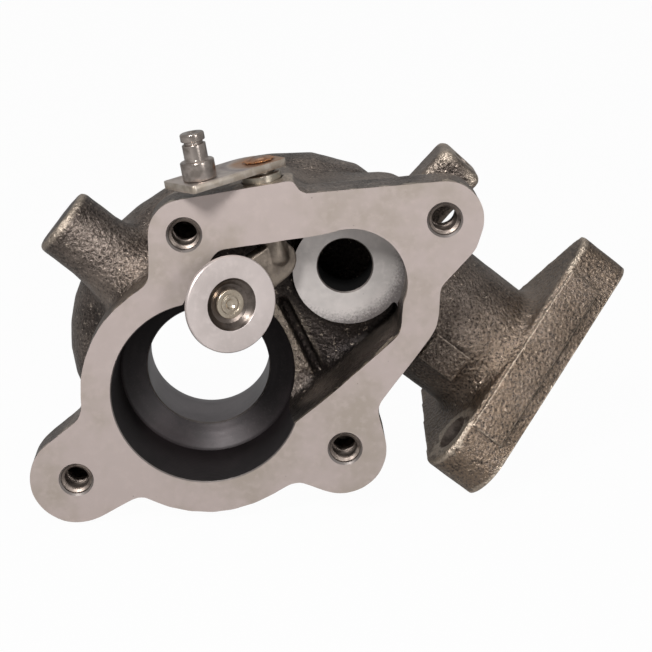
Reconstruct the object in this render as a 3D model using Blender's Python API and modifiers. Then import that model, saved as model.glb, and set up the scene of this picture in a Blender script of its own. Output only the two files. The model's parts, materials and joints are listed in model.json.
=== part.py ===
"""Turbocharger turbine housing with an internal wastegate.

The casting is drawn about the turbine axis: the outlet face lies in the XZ plane, +Y runs into the
housing and +Z is up. At the end everything is moved so that the origin is the middle of the
housing's footprint, at the height of the surface that it stands on. All sizes are metres.
"""
import bmesh
import bpy
from math import asin, atan2, cos, exp, hypot, pi, radians, sin, sqrt, tan
from mathutils import Matrix, Vector

# Clearance between pieces that touch
SEAT_GAP = 0.0003

# Outlet flange
FLANGE_THICKNESS = 0.014
RING_RADIUS = 0.0393
RING_FOOT_RADIUS = 0.0403
LOBE_RADIUS = {"upper_left": 0.0110, "upper_right": 0.0121, "lower_left": 0.0148, "lower_right": 0.0147}
LOBE_SHIFT = {"upper_left": (0, 0), "upper_right": (0, 0), "lower_left": (0, 0), "lower_right": (-0.0014, -0.0006)}
HOLE_PLACE = {
    "upper_left": (-0.0055, 0.0516),
    "upper_right": (0.0744, 0.0557),
    "lower_left": (-0.0418, -0.0286),
    "lower_right": (0.0440, -0.0190),
}
HOLE_DEPTH = {"upper_left": 0.030, "upper_right": 0.018, "lower_left": 0.020, "lower_right": 0.020}
TAPPED_RADIUS = 0.0046
CHAMFER_RADIUS = 0.0056
LOBE_BOSS_DEPTH = 0.025
LOBE_BOSS_STEP = 0.0020

# Outlet chamber, turbine bore and rear bore
CHAMBER_RADIUS = 0.0297
CHAMBER_FLOOR_RADIUS = 0.0285
CHAMBER_DEPTH = 0.0250
BORE_RADIUS = 0.0201
BORE_START = 0.0285
BORE_END = 0.0470
WHEEL_RADIUS = 0.0265
NOZZLE_RADIUS = 0.0360
NOZZLE_START = 0.0590
NOZZLE_WIDTH = 0.0070
REAR_BORE_RADIUS = 0.0310
REAR_STEP_RADIUS = 0.0355
REAR_STEP_DEPTH = 0.0045
BODY_RADIUS = 0.0370
REAR_NECK_RADIUS = 0.0385
REAR_FLANGE_RADIUS = 0.0435
REAR_FLANGE_WIDTH = 0.0070
HOUSING_DEPTH = 0.0770

# Scroll and inlet neck
NECK_SLOPE = radians(38.5)
INLET_OFFSET = 0.0570
NECK_RADIUS = 0.0235
NECK_SETBACK = 0.0470
SCROLL_WALL = 0.0055
SCROLL_SWEEP = radians(300)
SCROLL_REACH = 0.0502
SCROLL_REACH_DROP = 0.0140
SCROLL_INNER_REACH = 0.0220
SCROLL_DECAY = radians(39)
SCROLL_DECAY_POWER = 1.33
SCROLL_HALF_DEPTH = 0.0125
SCROLL_DEPTH_DECAY = radians(130)
SCROLL_LEAN = 0.0090
SCROLL_LEAN_DECAY = radians(100)

# Inlet flange, in its own plane: the first value runs up its face from the gas passage, the second
# is the depth behind the outlet face. A lobe has a radius as its third value.
INLET_FACE_DISTANCE = 0.0931
INLET_THICKNESS = 0.0178
INLET_LOBES = ((-0.0244, 0.0198, 0.0121), (0.0446, 0.0472, 0.0068), (-0.0204, 0.0740, 0.0118))
INLET_BOLT_PLACES = ((-0.0232, 0.0173), (-0.0208, 0.0745))
INLET_STUD_PLACE = (0.0362, 0.0472)
INLET_BOLT_RADIUS = 0.0060
INLET_STUD_DEPTH = 0.0115
SIDE_PANEL_HEIGHT = 0.0007
SIDE_PANEL_START = 0.0035
SIDE_PANEL_LENGTH = 0.0630
SIDE_PANEL_WIDTH = 0.0124
SIDE_PANEL_MARGIN = 0.0012

# Wastegate pocket, seat and port
POCKET_DEPTH = 0.0250
PORT_PLACE = (0.0445, 0.0370)
PORT_RADIUS = 0.0087
SEAT_DEPTH = 0.0164
SEAT_RADIUS = 0.0176
SEAT_OFFSET = (0.0012, -0.0014)
GROOVE_DEPTH = 0.0320
GROOVE_WIDTH = 0.0036

# Wastegate shaft, arm and valve, in the closed position
SHAFT_LEAN = radians(9.5)
SHAFT_RADIUS = 0.0040
SHAFT_SETBACK = 0.0095
SHAFT_CLEARANCE = 0.0003
ARM_REACH = 0.0208
ARM_DROP = 0.0107
ARM_THICKNESS = 0.0050
ARM_EYE_RADIUS = 0.0072
ARM_HUB_RADIUS = 0.0062
OPEN_ANGLE = radians(152)
BUSH_RADIUS = 0.0062
BUSH_STAND_OUT = 0.0022
TOP_WALL_HEIGHT = 0.0230
POCKET_CEILING = 0.0054
DISC_RADIUS = 0.0152
DISC_RIM = 0.0017
DISC_BACK_RADIUS = 0.0068
DISC_HEIGHT = 0.0040
DISH_RADIUS = 0.0083
DISH_DEPTH = 0.0022
RIVET_HEAD_RADIUS = 0.0046
RIVET_HEAD_HEIGHT = 0.0011
RIVET_STEM_RADIUS = 0.0028
WASHER_RADIUS = 0.0052
WASHER_THICKNESS = 0.0016
RIVET_TAIL_RADIUS = 0.0040
RIVET_TAIL_HEIGHT = 0.0016

# Outside lever and its pin
LEVER_THICKNESS = 0.0024
LEVER_TWIST = radians(5.5)
LEVER_FRONT = 0.0068
LEVER_BACK = 0.0112
LEVER_REACH = 0.0218
LEVER_END = 0.0064
LEVER_TAIL = 0.0060
LEVER_RISE = 0.0012
WELD_RADIUS = 0.0056
WELD_HEIGHT = 0.0008
PIN_COLLAR_RADIUS = 0.0052
PIN_COLLAR_HEIGHT = 0.0057
PIN_SHANK_RADIUS = 0.0036
PIN_SHANK_HEIGHT = 0.0050
PIN_GROOVE_RADIUS = 0.0029
PIN_GROOVE_HEIGHT = 0.0010
PIN_HEAD_RADIUS = 0.0037
PIN_HEAD_HEIGHT = 0.0025
PIN_SPIGOT_RADIUS = 0.0030

# Cast bosses
SIDE_BOSS_END = (-0.0473, 0.0340, 0.0486)
SIDE_BOSS_RADIUS = 0.0116
SIDE_BOSS_LENGTH = 0.034
SIDE_BOSS_SLOPE = radians(39)
LUG_END = (0.0826, 0.0300, 0.0684)
LUG_SLOPE = radians(48)
LUG_WIDTH = 0.0160
LUG_DEPTH = 0.0170
LUG_LENGTH = 0.034
LUG_HOLE_RADIUS = 0.0029
LUG_HOLE_DEPTH = 0.012
NECK_PAD_LENGTH = 0.0145
NECK_PAD_WIDTH = 0.0103
NECK_PAD_PLACE = (0.0586, 0.0510)
NECK_PAD_HEIGHT = 0.0008

# How finely round shapes are cut
ROUND_STEPS = 40
SMALL_ROUND_STEPS = 24
SECTION_STEPS = 28
SCROLL_STATIONS = 28
CORNER_STEP = radians(15)
LOBE_STEP = radians(10)

INWARD = Vector((0, 1, 0))
FACE_LINE = Vector((cos(pi / 2 - NECK_SLOPE), 0, sin(pi / 2 - NECK_SLOPE)))
INLET_OUT = Vector((cos(NECK_SLOPE), 0, -sin(NECK_SLOPE)))


def clear_scene():
    """Remove every object that the file opened with."""
    for obj in list(bpy.data.objects):
        bpy.data.objects.remove(obj, do_unlink=True)


def new_collection(name):
    """Return a new collection that is linked to the scene."""
    collection = bpy.data.collections.new(name)
    bpy.context.scene.collection.children.link(collection)
    return collection


def make_material(name, colour, roughness, metallic):
    """Return a Principled material with a plain colour."""
    material = bpy.data.materials.new(name)
    material.use_nodes = True
    shader = material.node_tree.nodes["Principled BSDF"]
    shader.inputs["Base Color"].default_value = (*colour, 1)
    shader.inputs["Roughness"].default_value = roughness
    shader.inputs["Metallic"].default_value = metallic
    return material


def add_mesh(name, fill, collection):
    """Make an object whose mesh the function fill writes into a bmesh."""
    mesh = bpy.data.meshes.new(name)
    bm = bmesh.new()
    fill(bm)
    bmesh.ops.recalc_face_normals(bm, faces=bm.faces)
    bm.to_mesh(mesh)
    bm.free()
    obj = bpy.data.objects.new(name, mesh)
    collection.objects.link(obj)
    return obj


def curve_to_mesh(curve_object, collection):
    """Turn a filled curve into a closed mesh object and remove the curve."""
    graph = bpy.context.evaluated_depsgraph_get()
    mesh = bpy.data.meshes.new_from_object(curve_object.evaluated_get(graph))
    bm = bmesh.new()
    bm.from_mesh(mesh)
    bmesh.ops.remove_doubles(bm, verts=bm.verts, dist=0.00001)
    bmesh.ops.recalc_face_normals(bm, faces=bm.faces)
    bm.to_mesh(mesh)
    bm.free()
    obj = bpy.data.objects.new(curve_object.name + "_solid", mesh)
    obj.matrix_world = curve_object.matrix_world
    name = curve_object.name
    bpy.data.objects.remove(curve_object, do_unlink=True)
    obj.name = name
    collection.objects.link(obj)
    return obj


def rounded_outline(corners):
    """Return the points of a closed outline whose corners (x, y, radius) are rounded by arcs."""
    points = []
    for index, (x, y, radius) in enumerate(corners):
        before = Vector(corners[index - 1][:2])
        after = Vector(corners[(index + 1) % len(corners)][:2])
        corner = Vector((x, y))
        along_in = (corner - before).normalized()
        along_out = (after - corner).normalized()
        turn = atan2(along_in.x * along_out.y - along_in.y * along_out.x, along_in.dot(along_out))
        if radius <= 0 or abs(turn) < 0.01:
            points.append(corner)
            continue
        start = corner - along_in * radius * tan(abs(turn) / 2)
        side = 1 if turn > 0 else -1
        centre = start + Vector((-along_in.y, along_in.x)) * radius * side
        spoke = start - centre
        count = max(2, round(abs(turn) / CORNER_STEP))
        for step in range(count + 1):
            angle = turn * step / count
            points.append(centre + Matrix.Rotation(angle, 2) @ spoke)
    return points


def extruded_outline(name, points, near, far, collection, frame=None):
    """Extrude an outline of the XZ plane between two depths; frame places it somewhere else."""
    curve = bpy.data.curves.new(name, "CURVE")
    curve.dimensions = "2D"
    curve.fill_mode = "BOTH"
    curve.extrude = (far - near) / 2
    spline = curve.splines.new("POLY")
    spline.points.add(len(points) - 1)
    for target, point in zip(spline.points, points):
        target.co = (point[0], point[1], 0, 1)
    spline.use_cyclic_u = True
    obj = bpy.data.objects.new(name, curve)
    collection.objects.link(obj)
    stand_up = Matrix.Rotation(pi / 2, 4, "X")
    obj.matrix_world = (frame or Matrix()) @ Matrix.Translation((0, (near + far) / 2, 0)) @ stand_up
    bpy.context.view_layer.update()
    return curve_to_mesh(obj, collection)


def turned(name, profile, collection, place=None, steps=ROUND_STEPS):
    """Turn a profile of (radius, height) points about local Z, going up its outer side.

    A profile that doesn't start on the axis is closed to a ring.
    """
    mesh = bpy.data.meshes.new(name)
    points = [(radius, 0, height) for radius, height in reversed(profile)]
    links = [(index, index + 1) for index in range(len(points) - 1)]
    if profile[0][0] > 0:
        links.append((len(points) - 1, 0))
    mesh.from_pydata(points, links, [])
    obj = bpy.data.objects.new(name, mesh)
    collection.objects.link(obj)
    screw = obj.modifiers.new("Turn", "SCREW")
    screw.axis = "Z"
    screw.steps = steps
    screw.render_steps = steps
    screw.use_merge_vertices = True
    screw.merge_threshold = 0.00001
    screw.use_smooth_shade = False
    if place is not None:
        obj.matrix_world = place
    return obj


def along(point, direction):
    """Return a matrix that puts the origin at a point and local Z along a direction."""
    turn = direction.to_track_quat("Z", "Y").to_matrix().to_4x4()
    return Matrix.Translation(point) @ turn


def cylinder(name, radius, start, direction, length, collection, steps=SMALL_ROUND_STEPS):
    """Make a cylinder from a start point along a direction."""
    place = along(Vector(start), Vector(direction)) @ Matrix.Translation((0, 0, length / 2))

    def fill(bm):
        bmesh.ops.create_cone(bm, cap_ends=True, segments=steps, radius1=radius, radius2=radius, depth=length)

    obj = add_mesh(name, fill, collection)
    obj.matrix_world = place
    return obj


def block(name, size, place, collection):
    """Make a box of a given size whose middle is at a matrix."""
    def fill(bm):
        bmesh.ops.create_cube(bm, size=1, matrix=Matrix.Diagonal((*size, 1)))

    obj = add_mesh(name, fill, collection)
    obj.matrix_world = place
    return obj


def loft(name, rings, collection):
    """Skin a row of rings with the same number of points and close both ends."""
    def fill(bm):
        rows = [[bm.verts.new(point) for point in ring] for ring in rings]
        for row, following in zip(rows, rows[1:]):
            for index, vert in enumerate(row):
                step = (index + 1) % len(row)
                bm.faces.new((vert, row[step], following[step], following[index]))
        bm.faces.new(rows[0])
        bm.faces.new(reversed(rows[-1]))

    return add_mesh(name, fill, collection)


def soften(obj, width, segments=2, angle=radians(40)):
    """Round the sharp edges of a shape."""
    bevel = obj.modifiers.new("Soften", "BEVEL")
    bevel.width = width
    bevel.segments = segments
    bevel.limit_method = "ANGLE"
    bevel.angle_limit = angle
    bevel.use_clamp_overlap = True


def combine(obj, operation, other):
    """Add a Boolean with another object, or with every object of a collection."""
    boolean = obj.modifiers.new(operation.title(), "BOOLEAN")
    boolean.operation = operation
    boolean.solver = "EXACT"
    if isinstance(other, bpy.types.Collection):
        boolean.operand_type = "COLLECTION"
        boolean.collection = other
    else:
        boolean.object = other


def hide_tools(collection):
    """Show shapes that only cut or add as wires, and leave them out of renders."""
    for obj in collection.objects:
        obj.hide_render = True
        obj.display_type = "WIRE"


def touch_angle(item, following):
    """Return where the straight edge between two outline items touches their circles.

    The circles lie on the right of the edge; a corner counts as a circle without a radius.
    """
    radii = [entry[2] if entry[-1] == "lobe" else 0 for entry in (item, following)]
    gap = Vector(following[:2]) - Vector(item[:2])
    heading = atan2(gap.y, gap.x) - asin((radii[0] - radii[1]) / gap.length)
    return heading + pi / 2


def clockwise_outline(items):
    """Return a clockwise outline of corners (x, z, fillet) and lobes (x, z, radius, "lobe").

    The edges run straight from each corner to the next, or touch a lobe's circle and go round it.
    """
    corners = []
    for index, item in enumerate(items):
        if item[-1] != "lobe":
            corners.append(item)
            continue
        centre, radius = item[:2], item[2]
        first = touch_angle(items[index - 1], item)
        last = touch_angle(item, items[(index + 1) % len(items)])
        sweep = (first - last) % (2 * pi)
        count = max(2, round(sweep / LOBE_STEP))
        for step in range(count + 1):
            angle = first - sweep * step / count
            corners.append((centre[0] + radius * cos(angle), centre[1] + radius * sin(angle), 0))
    return rounded_outline(corners)


def lobe(name):
    """Return the round end of the outlet flange about one of its holes."""
    x, z = HOLE_PLACE[name]
    shift_x, shift_z = LOBE_SHIFT[name]
    return (x + shift_x, z + shift_z, LOBE_RADIUS[name], "lobe")


def flange_outline():
    """Return the outlet flange's outline, clockwise from the upper left lobe."""
    return clockwise_outline([
        lobe("upper_left"),
        (0.0278, 0.0684, 0.0015),
        (0.0304, 0.0641, 0.0030),
        lobe("upper_right"),
        (0.0842, 0.0462, 0.0060),
        (0.0734, 0.0342, 0.0030),
        (0.0730, 0.0212, 0.0140),
        (0.0540, -0.0052, 0.0060),
        lobe("lower_right"),
        (0.0285, -0.0297, 0.0060),
        (0, 0, RING_FOOT_RADIUS, "lobe"),
        (-0.0215, -0.0342, 0.0040),
        lobe("lower_left"),
        (-0.0392, -0.0072, 0.0060),
        (0, 0, RING_RADIUS, "lobe"),
        (-0.0168, 0.0362, 0.0040),
    ])


def seat_centre():
    """Return the centre of the round spot that the valve seat is faced on."""
    return Vector((PORT_PLACE[0] + SEAT_OFFSET[0], PORT_PLACE[1] + SEAT_OFFSET[1]))


def pocket_outline():
    """Return the wastegate pocket's outline, which runs into the round spot of the valve seat."""
    centre = seat_centre()
    left = centre + SEAT_RADIUS * Vector((cos(radians(118)), sin(radians(118))))
    arc = []
    for step in range(13):
        angle = radians(112) - step * radians(112 + 22) / 12
        arc.append((centre.x + SEAT_RADIUS * cos(angle), centre.y + SEAT_RADIUS * sin(angle), 0))
    ceiling_left = shaft_point(-0.0172, 0, POCKET_CEILING)
    return rounded_outline([
        (-0.0190, 0.0222, 0),
        (-0.0064, 0.0300, 0.0050),
        (-0.0010, 0.0378, 0.0060),
        (ceiling_left.x, ceiling_left.z, 0.0025),
        (left.x - 0.0045, left.y - 0.0004, 0.0020),
        *arc,
        (0.0612, 0.0190, 0.0060),
        (0.0272, -0.0118, 0.0020),
        (0.0120, -0.0180, 0),
        (-0.0120, 0.0060, 0),
    ])


def shaft_frame():
    """Return the frame of the wastegate in its closed position.

    Its origin is on the shaft at the seat's height, X points from the shaft to the valve, Y into the
    housing and Z up the shaft.
    """
    up = Vector((-sin(SHAFT_LEAN), 0, cos(SHAFT_LEAN)))
    out = Vector((cos(SHAFT_LEAN), 0, sin(SHAFT_LEAN)))
    port = Vector((PORT_PLACE[0], SHAFT_SETBACK, PORT_PLACE[1]))
    origin = port - out * ARM_REACH + up * ARM_DROP
    frame = Matrix((out, INWARD, up)).transposed().to_4x4()
    frame.translation = origin
    return frame


def shaft_point(x, y, z):
    """Return the place of a point given in the closed wastegate's frame."""
    return shaft_frame() @ Vector((x, y, z))


def scroll_section(angle, wall):
    """Return the centre, radial half width and half depth of the scroll at an angle past the neck."""
    swell = exp(-(angle / SCROLL_DECAY) ** SCROLL_DECAY_POWER)
    share = angle / SCROLL_SWEEP
    outer_start = INLET_OFFSET + NECK_RADIUS
    inner_start = INLET_OFFSET - NECK_RADIUS
    outer = SCROLL_REACH - SCROLL_REACH_DROP * share ** 2 + (outer_start - SCROLL_REACH) * swell
    inner = SCROLL_INNER_REACH + (inner_start - SCROLL_INNER_REACH) * swell
    half_depth = SCROLL_HALF_DEPTH + (NECK_RADIUS - SCROLL_HALF_DEPTH) * exp(-angle / SCROLL_DEPTH_DECAY)
    depth = NECK_SETBACK + SCROLL_LEAN * (1 - exp(-angle / SCROLL_LEAN_DECAY))
    return (outer + inner) / 2, depth, (outer - inner) / 2 - wall, half_depth - wall


def section_ring(centre, radial, half_width, half_depth):
    """Return the points of an oval section across the radial and the inward direction."""
    ring = []
    for step in range(SECTION_STEPS):
        angle = 2 * pi * step / SECTION_STEPS
        ring.append(centre + radial * half_width * cos(angle) + INWARD * half_depth * sin(angle))
    return ring


def scroll_rings(wall, inlet_distance):
    """Return the sections of the scroll from the inlet flange, along the neck and round the wheel."""
    rings = []
    start, depth, half_width, half_depth = scroll_section(0, wall)
    for share in (1, 0.5):
        centre = FACE_LINE * start + INWARD * depth + INLET_OUT * inlet_distance * share
        rings.append(section_ring(centre, FACE_LINE, half_width, half_depth))
    first = pi / 2 - NECK_SLOPE
    for station in range(SCROLL_STATIONS + 1):
        angle = SCROLL_SWEEP * station / SCROLL_STATIONS
        reach, depth, half_width, half_depth = scroll_section(angle, wall)
        radial = Vector((cos(first + angle), 0, sin(first + angle)))
        rings.append(section_ring(radial * reach + INWARD * depth, radial, half_width, half_depth))
    return rings


def inlet_frame(distance):
    """Return the frame of the inlet flange: X up along its face, Y out of it, Z towards the outlet."""
    frame = Matrix((FACE_LINE, INLET_OUT, -INWARD)).transposed().to_4x4()
    frame.translation = FACE_LINE * INLET_OFFSET + INLET_OUT * distance
    return frame


def inlet_outline():
    """Return the inlet flange's outline in its own plane, round its three lobes."""
    return clockwise_outline([(up, -depth, radius, "lobe") for up, depth, radius in INLET_LOBES])


def bore_profile():
    """Return the profile that is cut along the turbine axis, from the outlet to the rear."""
    overrun = 0.002
    edge = 0.0008
    flare = []
    for step in range(5):
        angle = pi / 2 * step / 4
        radius = BORE_RADIUS + (WHEEL_RADIUS - BORE_RADIUS) * (1 - cos(angle))
        flare.append((radius, BORE_END + (NOZZLE_START - BORE_END) * sin(angle)))
    nozzle_end = NOZZLE_START + NOZZLE_WIDTH
    return [
        (0, -overrun),
        (CHAMBER_RADIUS, -overrun),
        (CHAMBER_RADIUS, 0.001),
        (CHAMBER_FLOOR_RADIUS, CHAMBER_DEPTH - edge),
        (CHAMBER_FLOOR_RADIUS - edge, CHAMBER_DEPTH),
        (BORE_RADIUS + edge, BORE_START - edge),
        (BORE_RADIUS, BORE_START),
        *flare,
        (NOZZLE_RADIUS, NOZZLE_START + edge),
        (NOZZLE_RADIUS, nozzle_end),
        (REAR_BORE_RADIUS, nozzle_end),
        (REAR_BORE_RADIUS, HOUSING_DEPTH - REAR_STEP_DEPTH),
        (REAR_STEP_RADIUS, HOUSING_DEPTH - REAR_STEP_DEPTH),
        (REAR_STEP_RADIUS, HOUSING_DEPTH + overrun),
        (0, HOUSING_DEPTH + overrun),
    ]


def body_profile():
    """Return the outer profile of the body about the turbine axis, behind the outlet flange."""
    flange_start = HOUSING_DEPTH - REAR_FLANGE_WIDTH
    bevel = 0.0020
    start = FLANGE_THICKNESS - 0.004
    return [
        (0, start),
        (BODY_RADIUS, start),
        (BODY_RADIUS, NECK_SETBACK),
        (REAR_NECK_RADIUS, flange_start - bevel),
        (REAR_FLANGE_RADIUS, flange_start),
        (REAR_FLANGE_RADIUS, HOUSING_DEPTH - bevel),
        (REAR_FLANGE_RADIUS - bevel, HOUSING_DEPTH),
        (0, HOUSING_DEPTH),
    ]


def inward_axis(x=0.0, z=0.0, depth=0.0):
    """Return a matrix that turns local Z into the housing at a point of the outlet face."""
    return along(Vector((x, depth, z)), INWARD)


def pocket_body_outline():
    """Return the outline of the cast box round the pocket, inside the flange's own outline."""
    return rounded_outline([
        (-0.0145, 0.0340, 0.0060),
        (-0.0140, 0.0570, 0.0080),
        (0.0262, 0.0660, 0.0030),
        (0.0312, 0.0625, 0.0020),
        (0.0650, 0.0640, 0.0120),
        (0.0715, 0.0440, 0.0100),
        (0.0712, 0.0210, 0.0130),
        (0.0525, -0.0040, 0.0070),
        (0.0440, -0.0190, 0.0100),
        (0.0150, -0.0290, 0.0060),
    ])


def make_forms(forms):
    """Make the cast shapes that the casting is the sum of."""
    pocket_body = extruded_outline("pocket_body", pocket_body_outline(), 0.010, 0.036, forms)
    soften(pocket_body, 0.003)
    turned("turned_body", body_profile(), forms, inward_axis(), ROUND_STEPS + 8)
    for name in ("lower_left", "lower_right"):
        x, z = lobe(name)[:2]
        inset = LOBE_RADIUS[name] - LOBE_BOSS_STEP
        start = (x, FLANGE_THICKNESS / 2, z)
        boss = cylinder("boss_" + name, inset, start, INWARD, LOBE_BOSS_DEPTH - start[1], forms)
        soften(boss, 0.002)
        web = Vector((x, z)) * 0.55
        reach = Vector((x, z)).length * 0.5
        turn = Matrix.Rotation(-atan2(z, x), 4, "Y")
        place = Matrix.Translation((web.x, (start[1] + LOBE_BOSS_DEPTH) / 2, web.y)) @ turn
        block("web_" + name, (reach, LOBE_BOSS_DEPTH - start[1] - 0.001, inset * 1.1), place, forms)
    neck_reach = INLET_FACE_DISTANCE - INLET_THICKNESS / 2
    loft("scroll_body", scroll_rings(0, neck_reach), forms)
    frame = inlet_frame(INLET_FACE_DISTANCE)
    inlet = extruded_outline("inlet_plate", inlet_outline(), -INLET_THICKNESS, 0, forms, frame)
    soften(inlet, 0.0012)
    make_side_panel(forms)
    make_neck_pad(forms)
    make_side_boss(forms)
    make_lug(forms)
    top_boss = shaft_point(0, 0, TOP_WALL_HEIGHT)
    down = shaft_frame().to_3x3() @ Vector((0, 0, -1))
    soften(cylinder("bush_boss", 0.0085, top_boss, down, 0.014, forms), 0.0012)


def make_side_panel(forms):
    """Make the raised panel on the inlet flange's front side."""
    front, top = INLET_LOBES[0], INLET_LOBES[1]
    start = (front[0], -front[1], front[2], "lobe")
    end = (top[0], -top[1], top[2], "lobe")
    normal_angle = touch_angle(start, end)
    normal = Vector((cos(normal_angle), sin(normal_angle)))
    touch = Vector(start[:2]) + normal * front[2]
    edge = Vector((normal.y, -normal.x))
    sink = 0.003
    middle = touch + edge * (SIDE_PANEL_START + SIDE_PANEL_LENGTH / 2) + normal * (SIDE_PANEL_HEIGHT - sink / 2)
    depth = -INLET_THICKNESS + SIDE_PANEL_MARGIN + SIDE_PANEL_WIDTH / 2
    turn = Matrix.Rotation(pi / 2 - normal_angle, 4, "Y")
    place = inlet_frame(INLET_FACE_DISTANCE) @ Matrix.Translation((middle.x, depth, middle.y)) @ turn
    panel = block("side_panel", (SIDE_PANEL_LENGTH, SIDE_PANEL_WIDTH, sink), place, forms)
    soften(panel, 0.0006)


def make_neck_pad(forms):
    """Make the raised rectangular pad on the front of the inlet neck."""
    along_neck, across = NECK_PAD_PLACE
    middle = INLET_OUT * along_neck + FACE_LINE * across
    off_centre = INLET_OFFSET - across
    front = NECK_SETBACK - sqrt(NECK_RADIUS ** 2 - off_centre ** 2) - NECK_PAD_HEIGHT
    sink = 0.006
    frame = Matrix((INLET_OUT, INWARD, FACE_LINE)).transposed().to_4x4()
    frame.translation = middle + INWARD * (front + sink / 2)
    soften(block("neck_pad", (NECK_PAD_LENGTH, sink, NECK_PAD_WIDTH), frame, forms), 0.0006)


def make_side_boss(forms):
    """Make the round boss at the upper left."""
    direction = Vector((cos(SIDE_BOSS_SLOPE), 0, -sin(SIDE_BOSS_SLOPE)))
    edge = 0.0016
    foot = SIDE_BOSS_RADIUS * 1.35
    profile = [
        (0, 0),
        (SIDE_BOSS_RADIUS - edge, 0),
        (SIDE_BOSS_RADIUS - edge * 0.3, edge * 0.3),
        (SIDE_BOSS_RADIUS, edge),
        (SIDE_BOSS_RADIUS, SIDE_BOSS_LENGTH * 0.40),
        (SIDE_BOSS_RADIUS * 1.08, SIDE_BOSS_LENGTH * 0.62),
        (foot, SIDE_BOSS_LENGTH),
        (0, SIDE_BOSS_LENGTH),
    ]
    turned("side_boss", profile, forms, along(Vector(SIDE_BOSS_END), direction), SMALL_ROUND_STEPS + 4)


def lug_direction():
    """Return the direction that the upper right lug points in."""
    return Vector((cos(LUG_SLOPE), 0, sin(LUG_SLOPE)))


def make_lug(forms):
    """Make the square lug at the upper right."""
    out = lug_direction()
    across = Vector((-sin(LUG_SLOPE), 0, cos(LUG_SLOPE)))
    frame = Matrix((out, INWARD, across)).transposed().to_4x4()
    frame.translation = Vector(LUG_END) - out * LUG_LENGTH / 2
    soften(block("lug", (LUG_LENGTH, LUG_DEPTH, LUG_WIDTH), frame, forms), 0.0022, 2)


def make_pocket_cut(cuts):
    """Make the shape of the cast pocket."""
    extruded_outline("pocket", pocket_outline(), -0.002, POCKET_DEPTH, cuts)


def make_seat_boss(added):
    """Make the round boss inside the pocket that carries the valve seat."""
    centre = seat_centre()
    overlap = 0.0004
    start = (centre.x, SEAT_DEPTH, centre.y)
    length = POCKET_DEPTH - SEAT_DEPTH + 0.003
    cylinder("seat_boss", SEAT_RADIUS + overlap, start, INWARD, length, added, ROUND_STEPS)


def make_groove(cuts):
    """Make the deep cleft between the counterbore's rim and the valve seat's boss."""
    start = Vector((0.0240, 0.0240))
    end = Vector((0.0378, -0.0040))
    middle = (start + end) / 2
    run = end - start
    turn = Matrix.Rotation(-atan2(run.y, run.x), 4, "Y")
    top = POCKET_DEPTH - 0.001
    place = Matrix.Translation((middle.x, (top + GROOVE_DEPTH) / 2, middle.y)) @ turn
    block("cleft", (run.length, GROOVE_DEPTH - top, GROOVE_WIDTH), place, cuts)


def tapped_hole(name, radius, depth, place, cuts):
    """Make a tapped hole's shape: a chamfer, the hole and the drill's cone."""
    flare = CHAMFER_RADIUS - TAPPED_RADIUS
    lip = radius + flare
    profile = [(0, -flare), (lip + flare, -flare), (radius, flare), (radius, depth), (0, depth + radius * 0.5)]
    turned(name, profile, cuts, place, SMALL_ROUND_STEPS)


def make_cuts(cuts):
    """Make the machined bores, the gas passages and the bolt holes."""
    turned("turbine_bore", bore_profile(), cuts, inward_axis(), ROUND_STEPS + 8)
    loft("gas_passage", scroll_rings(SCROLL_WALL, INLET_FACE_DISTANCE + 0.004), cuts)
    x, z = PORT_PLACE
    port_length = NECK_SETBACK - SEAT_DEPTH + 0.002
    cylinder("port", PORT_RADIUS, (x, SEAT_DEPTH - 0.002, z), INWARD, port_length, cuts, ROUND_STEPS - 8)
    for name, (hole_x, hole_z) in HOLE_PLACE.items():
        place = inward_axis(hole_x, hole_z)
        tapped_hole("tapped_" + name, TAPPED_RADIUS, HOLE_DEPTH[name], place, cuts)
    frame = inlet_frame(INLET_FACE_DISTANCE)
    for up, depth in INLET_BOLT_PLACES:
        mouth = frame @ Vector((up, 0.002, -depth))
        cylinder("inlet_bolt", INLET_BOLT_RADIUS, mouth, -INLET_OUT, INLET_THICKNESS + 0.004, cuts)
    up, depth = INLET_STUD_PLACE
    place = along(frame @ Vector((up, 0, -depth)), -INLET_OUT)
    tapped_hole("inlet_stud", TAPPED_RADIUS, INLET_STUD_DEPTH, place, cuts)
    lug = lug_direction()
    lug_mouth = Vector(LUG_END) + lug * 0.001
    cylinder("lug_hole", LUG_HOLE_RADIUS, lug_mouth, -lug, LUG_HOLE_DEPTH + 0.001, cuts, 16)
    up = shaft_frame().to_3x3() @ Vector((0, 0, 1))
    bush_start = shaft_point(0, 0, POCKET_CEILING - 0.003)
    cylinder("bush_hole", BUSH_RADIUS + SEAT_GAP, bush_start, up, 0.030, cuts, ROUND_STEPS - 8)


def make_housing(parts, forms, pocket, added, cuts):
    """Make the casting: the sum of its forms, then the pocket, the seat boss and the machining."""
    housing = extruded_outline("turbine_housing", flange_outline(), 0, FLANGE_THICKNESS, parts)
    make_forms(forms)
    make_pocket_cut(pocket)
    make_seat_boss(added)
    make_groove(cuts)
    make_cuts(cuts)
    combine(housing, "UNION", forms)
    combine(housing, "DIFFERENCE", pocket)
    combine(housing, "UNION", added)
    combine(housing, "DIFFERENCE", cuts)
    return housing


def make_bush(parts, frame):
    """Make the pressed bush that the shaft turns in."""
    low = POCKET_CEILING + 0.0006
    high = TOP_WALL_HEIGHT + BUSH_STAND_OUT
    inner = SHAFT_RADIUS + SHAFT_CLEARANCE
    edge = 0.0005
    profile = [
        (inner, low), (BUSH_RADIUS - edge, low), (BUSH_RADIUS, low + edge),
        (BUSH_RADIUS, high - edge), (BUSH_RADIUS - edge, high), (inner, high),
    ]
    return turned("wastegate_bush", profile, parts, frame, ROUND_STEPS - 8)


def lever_base():
    """Return the height of the lever's underside along the shaft."""
    return TOP_WALL_HEIGHT + BUSH_STAND_OUT + LEVER_RISE


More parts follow.
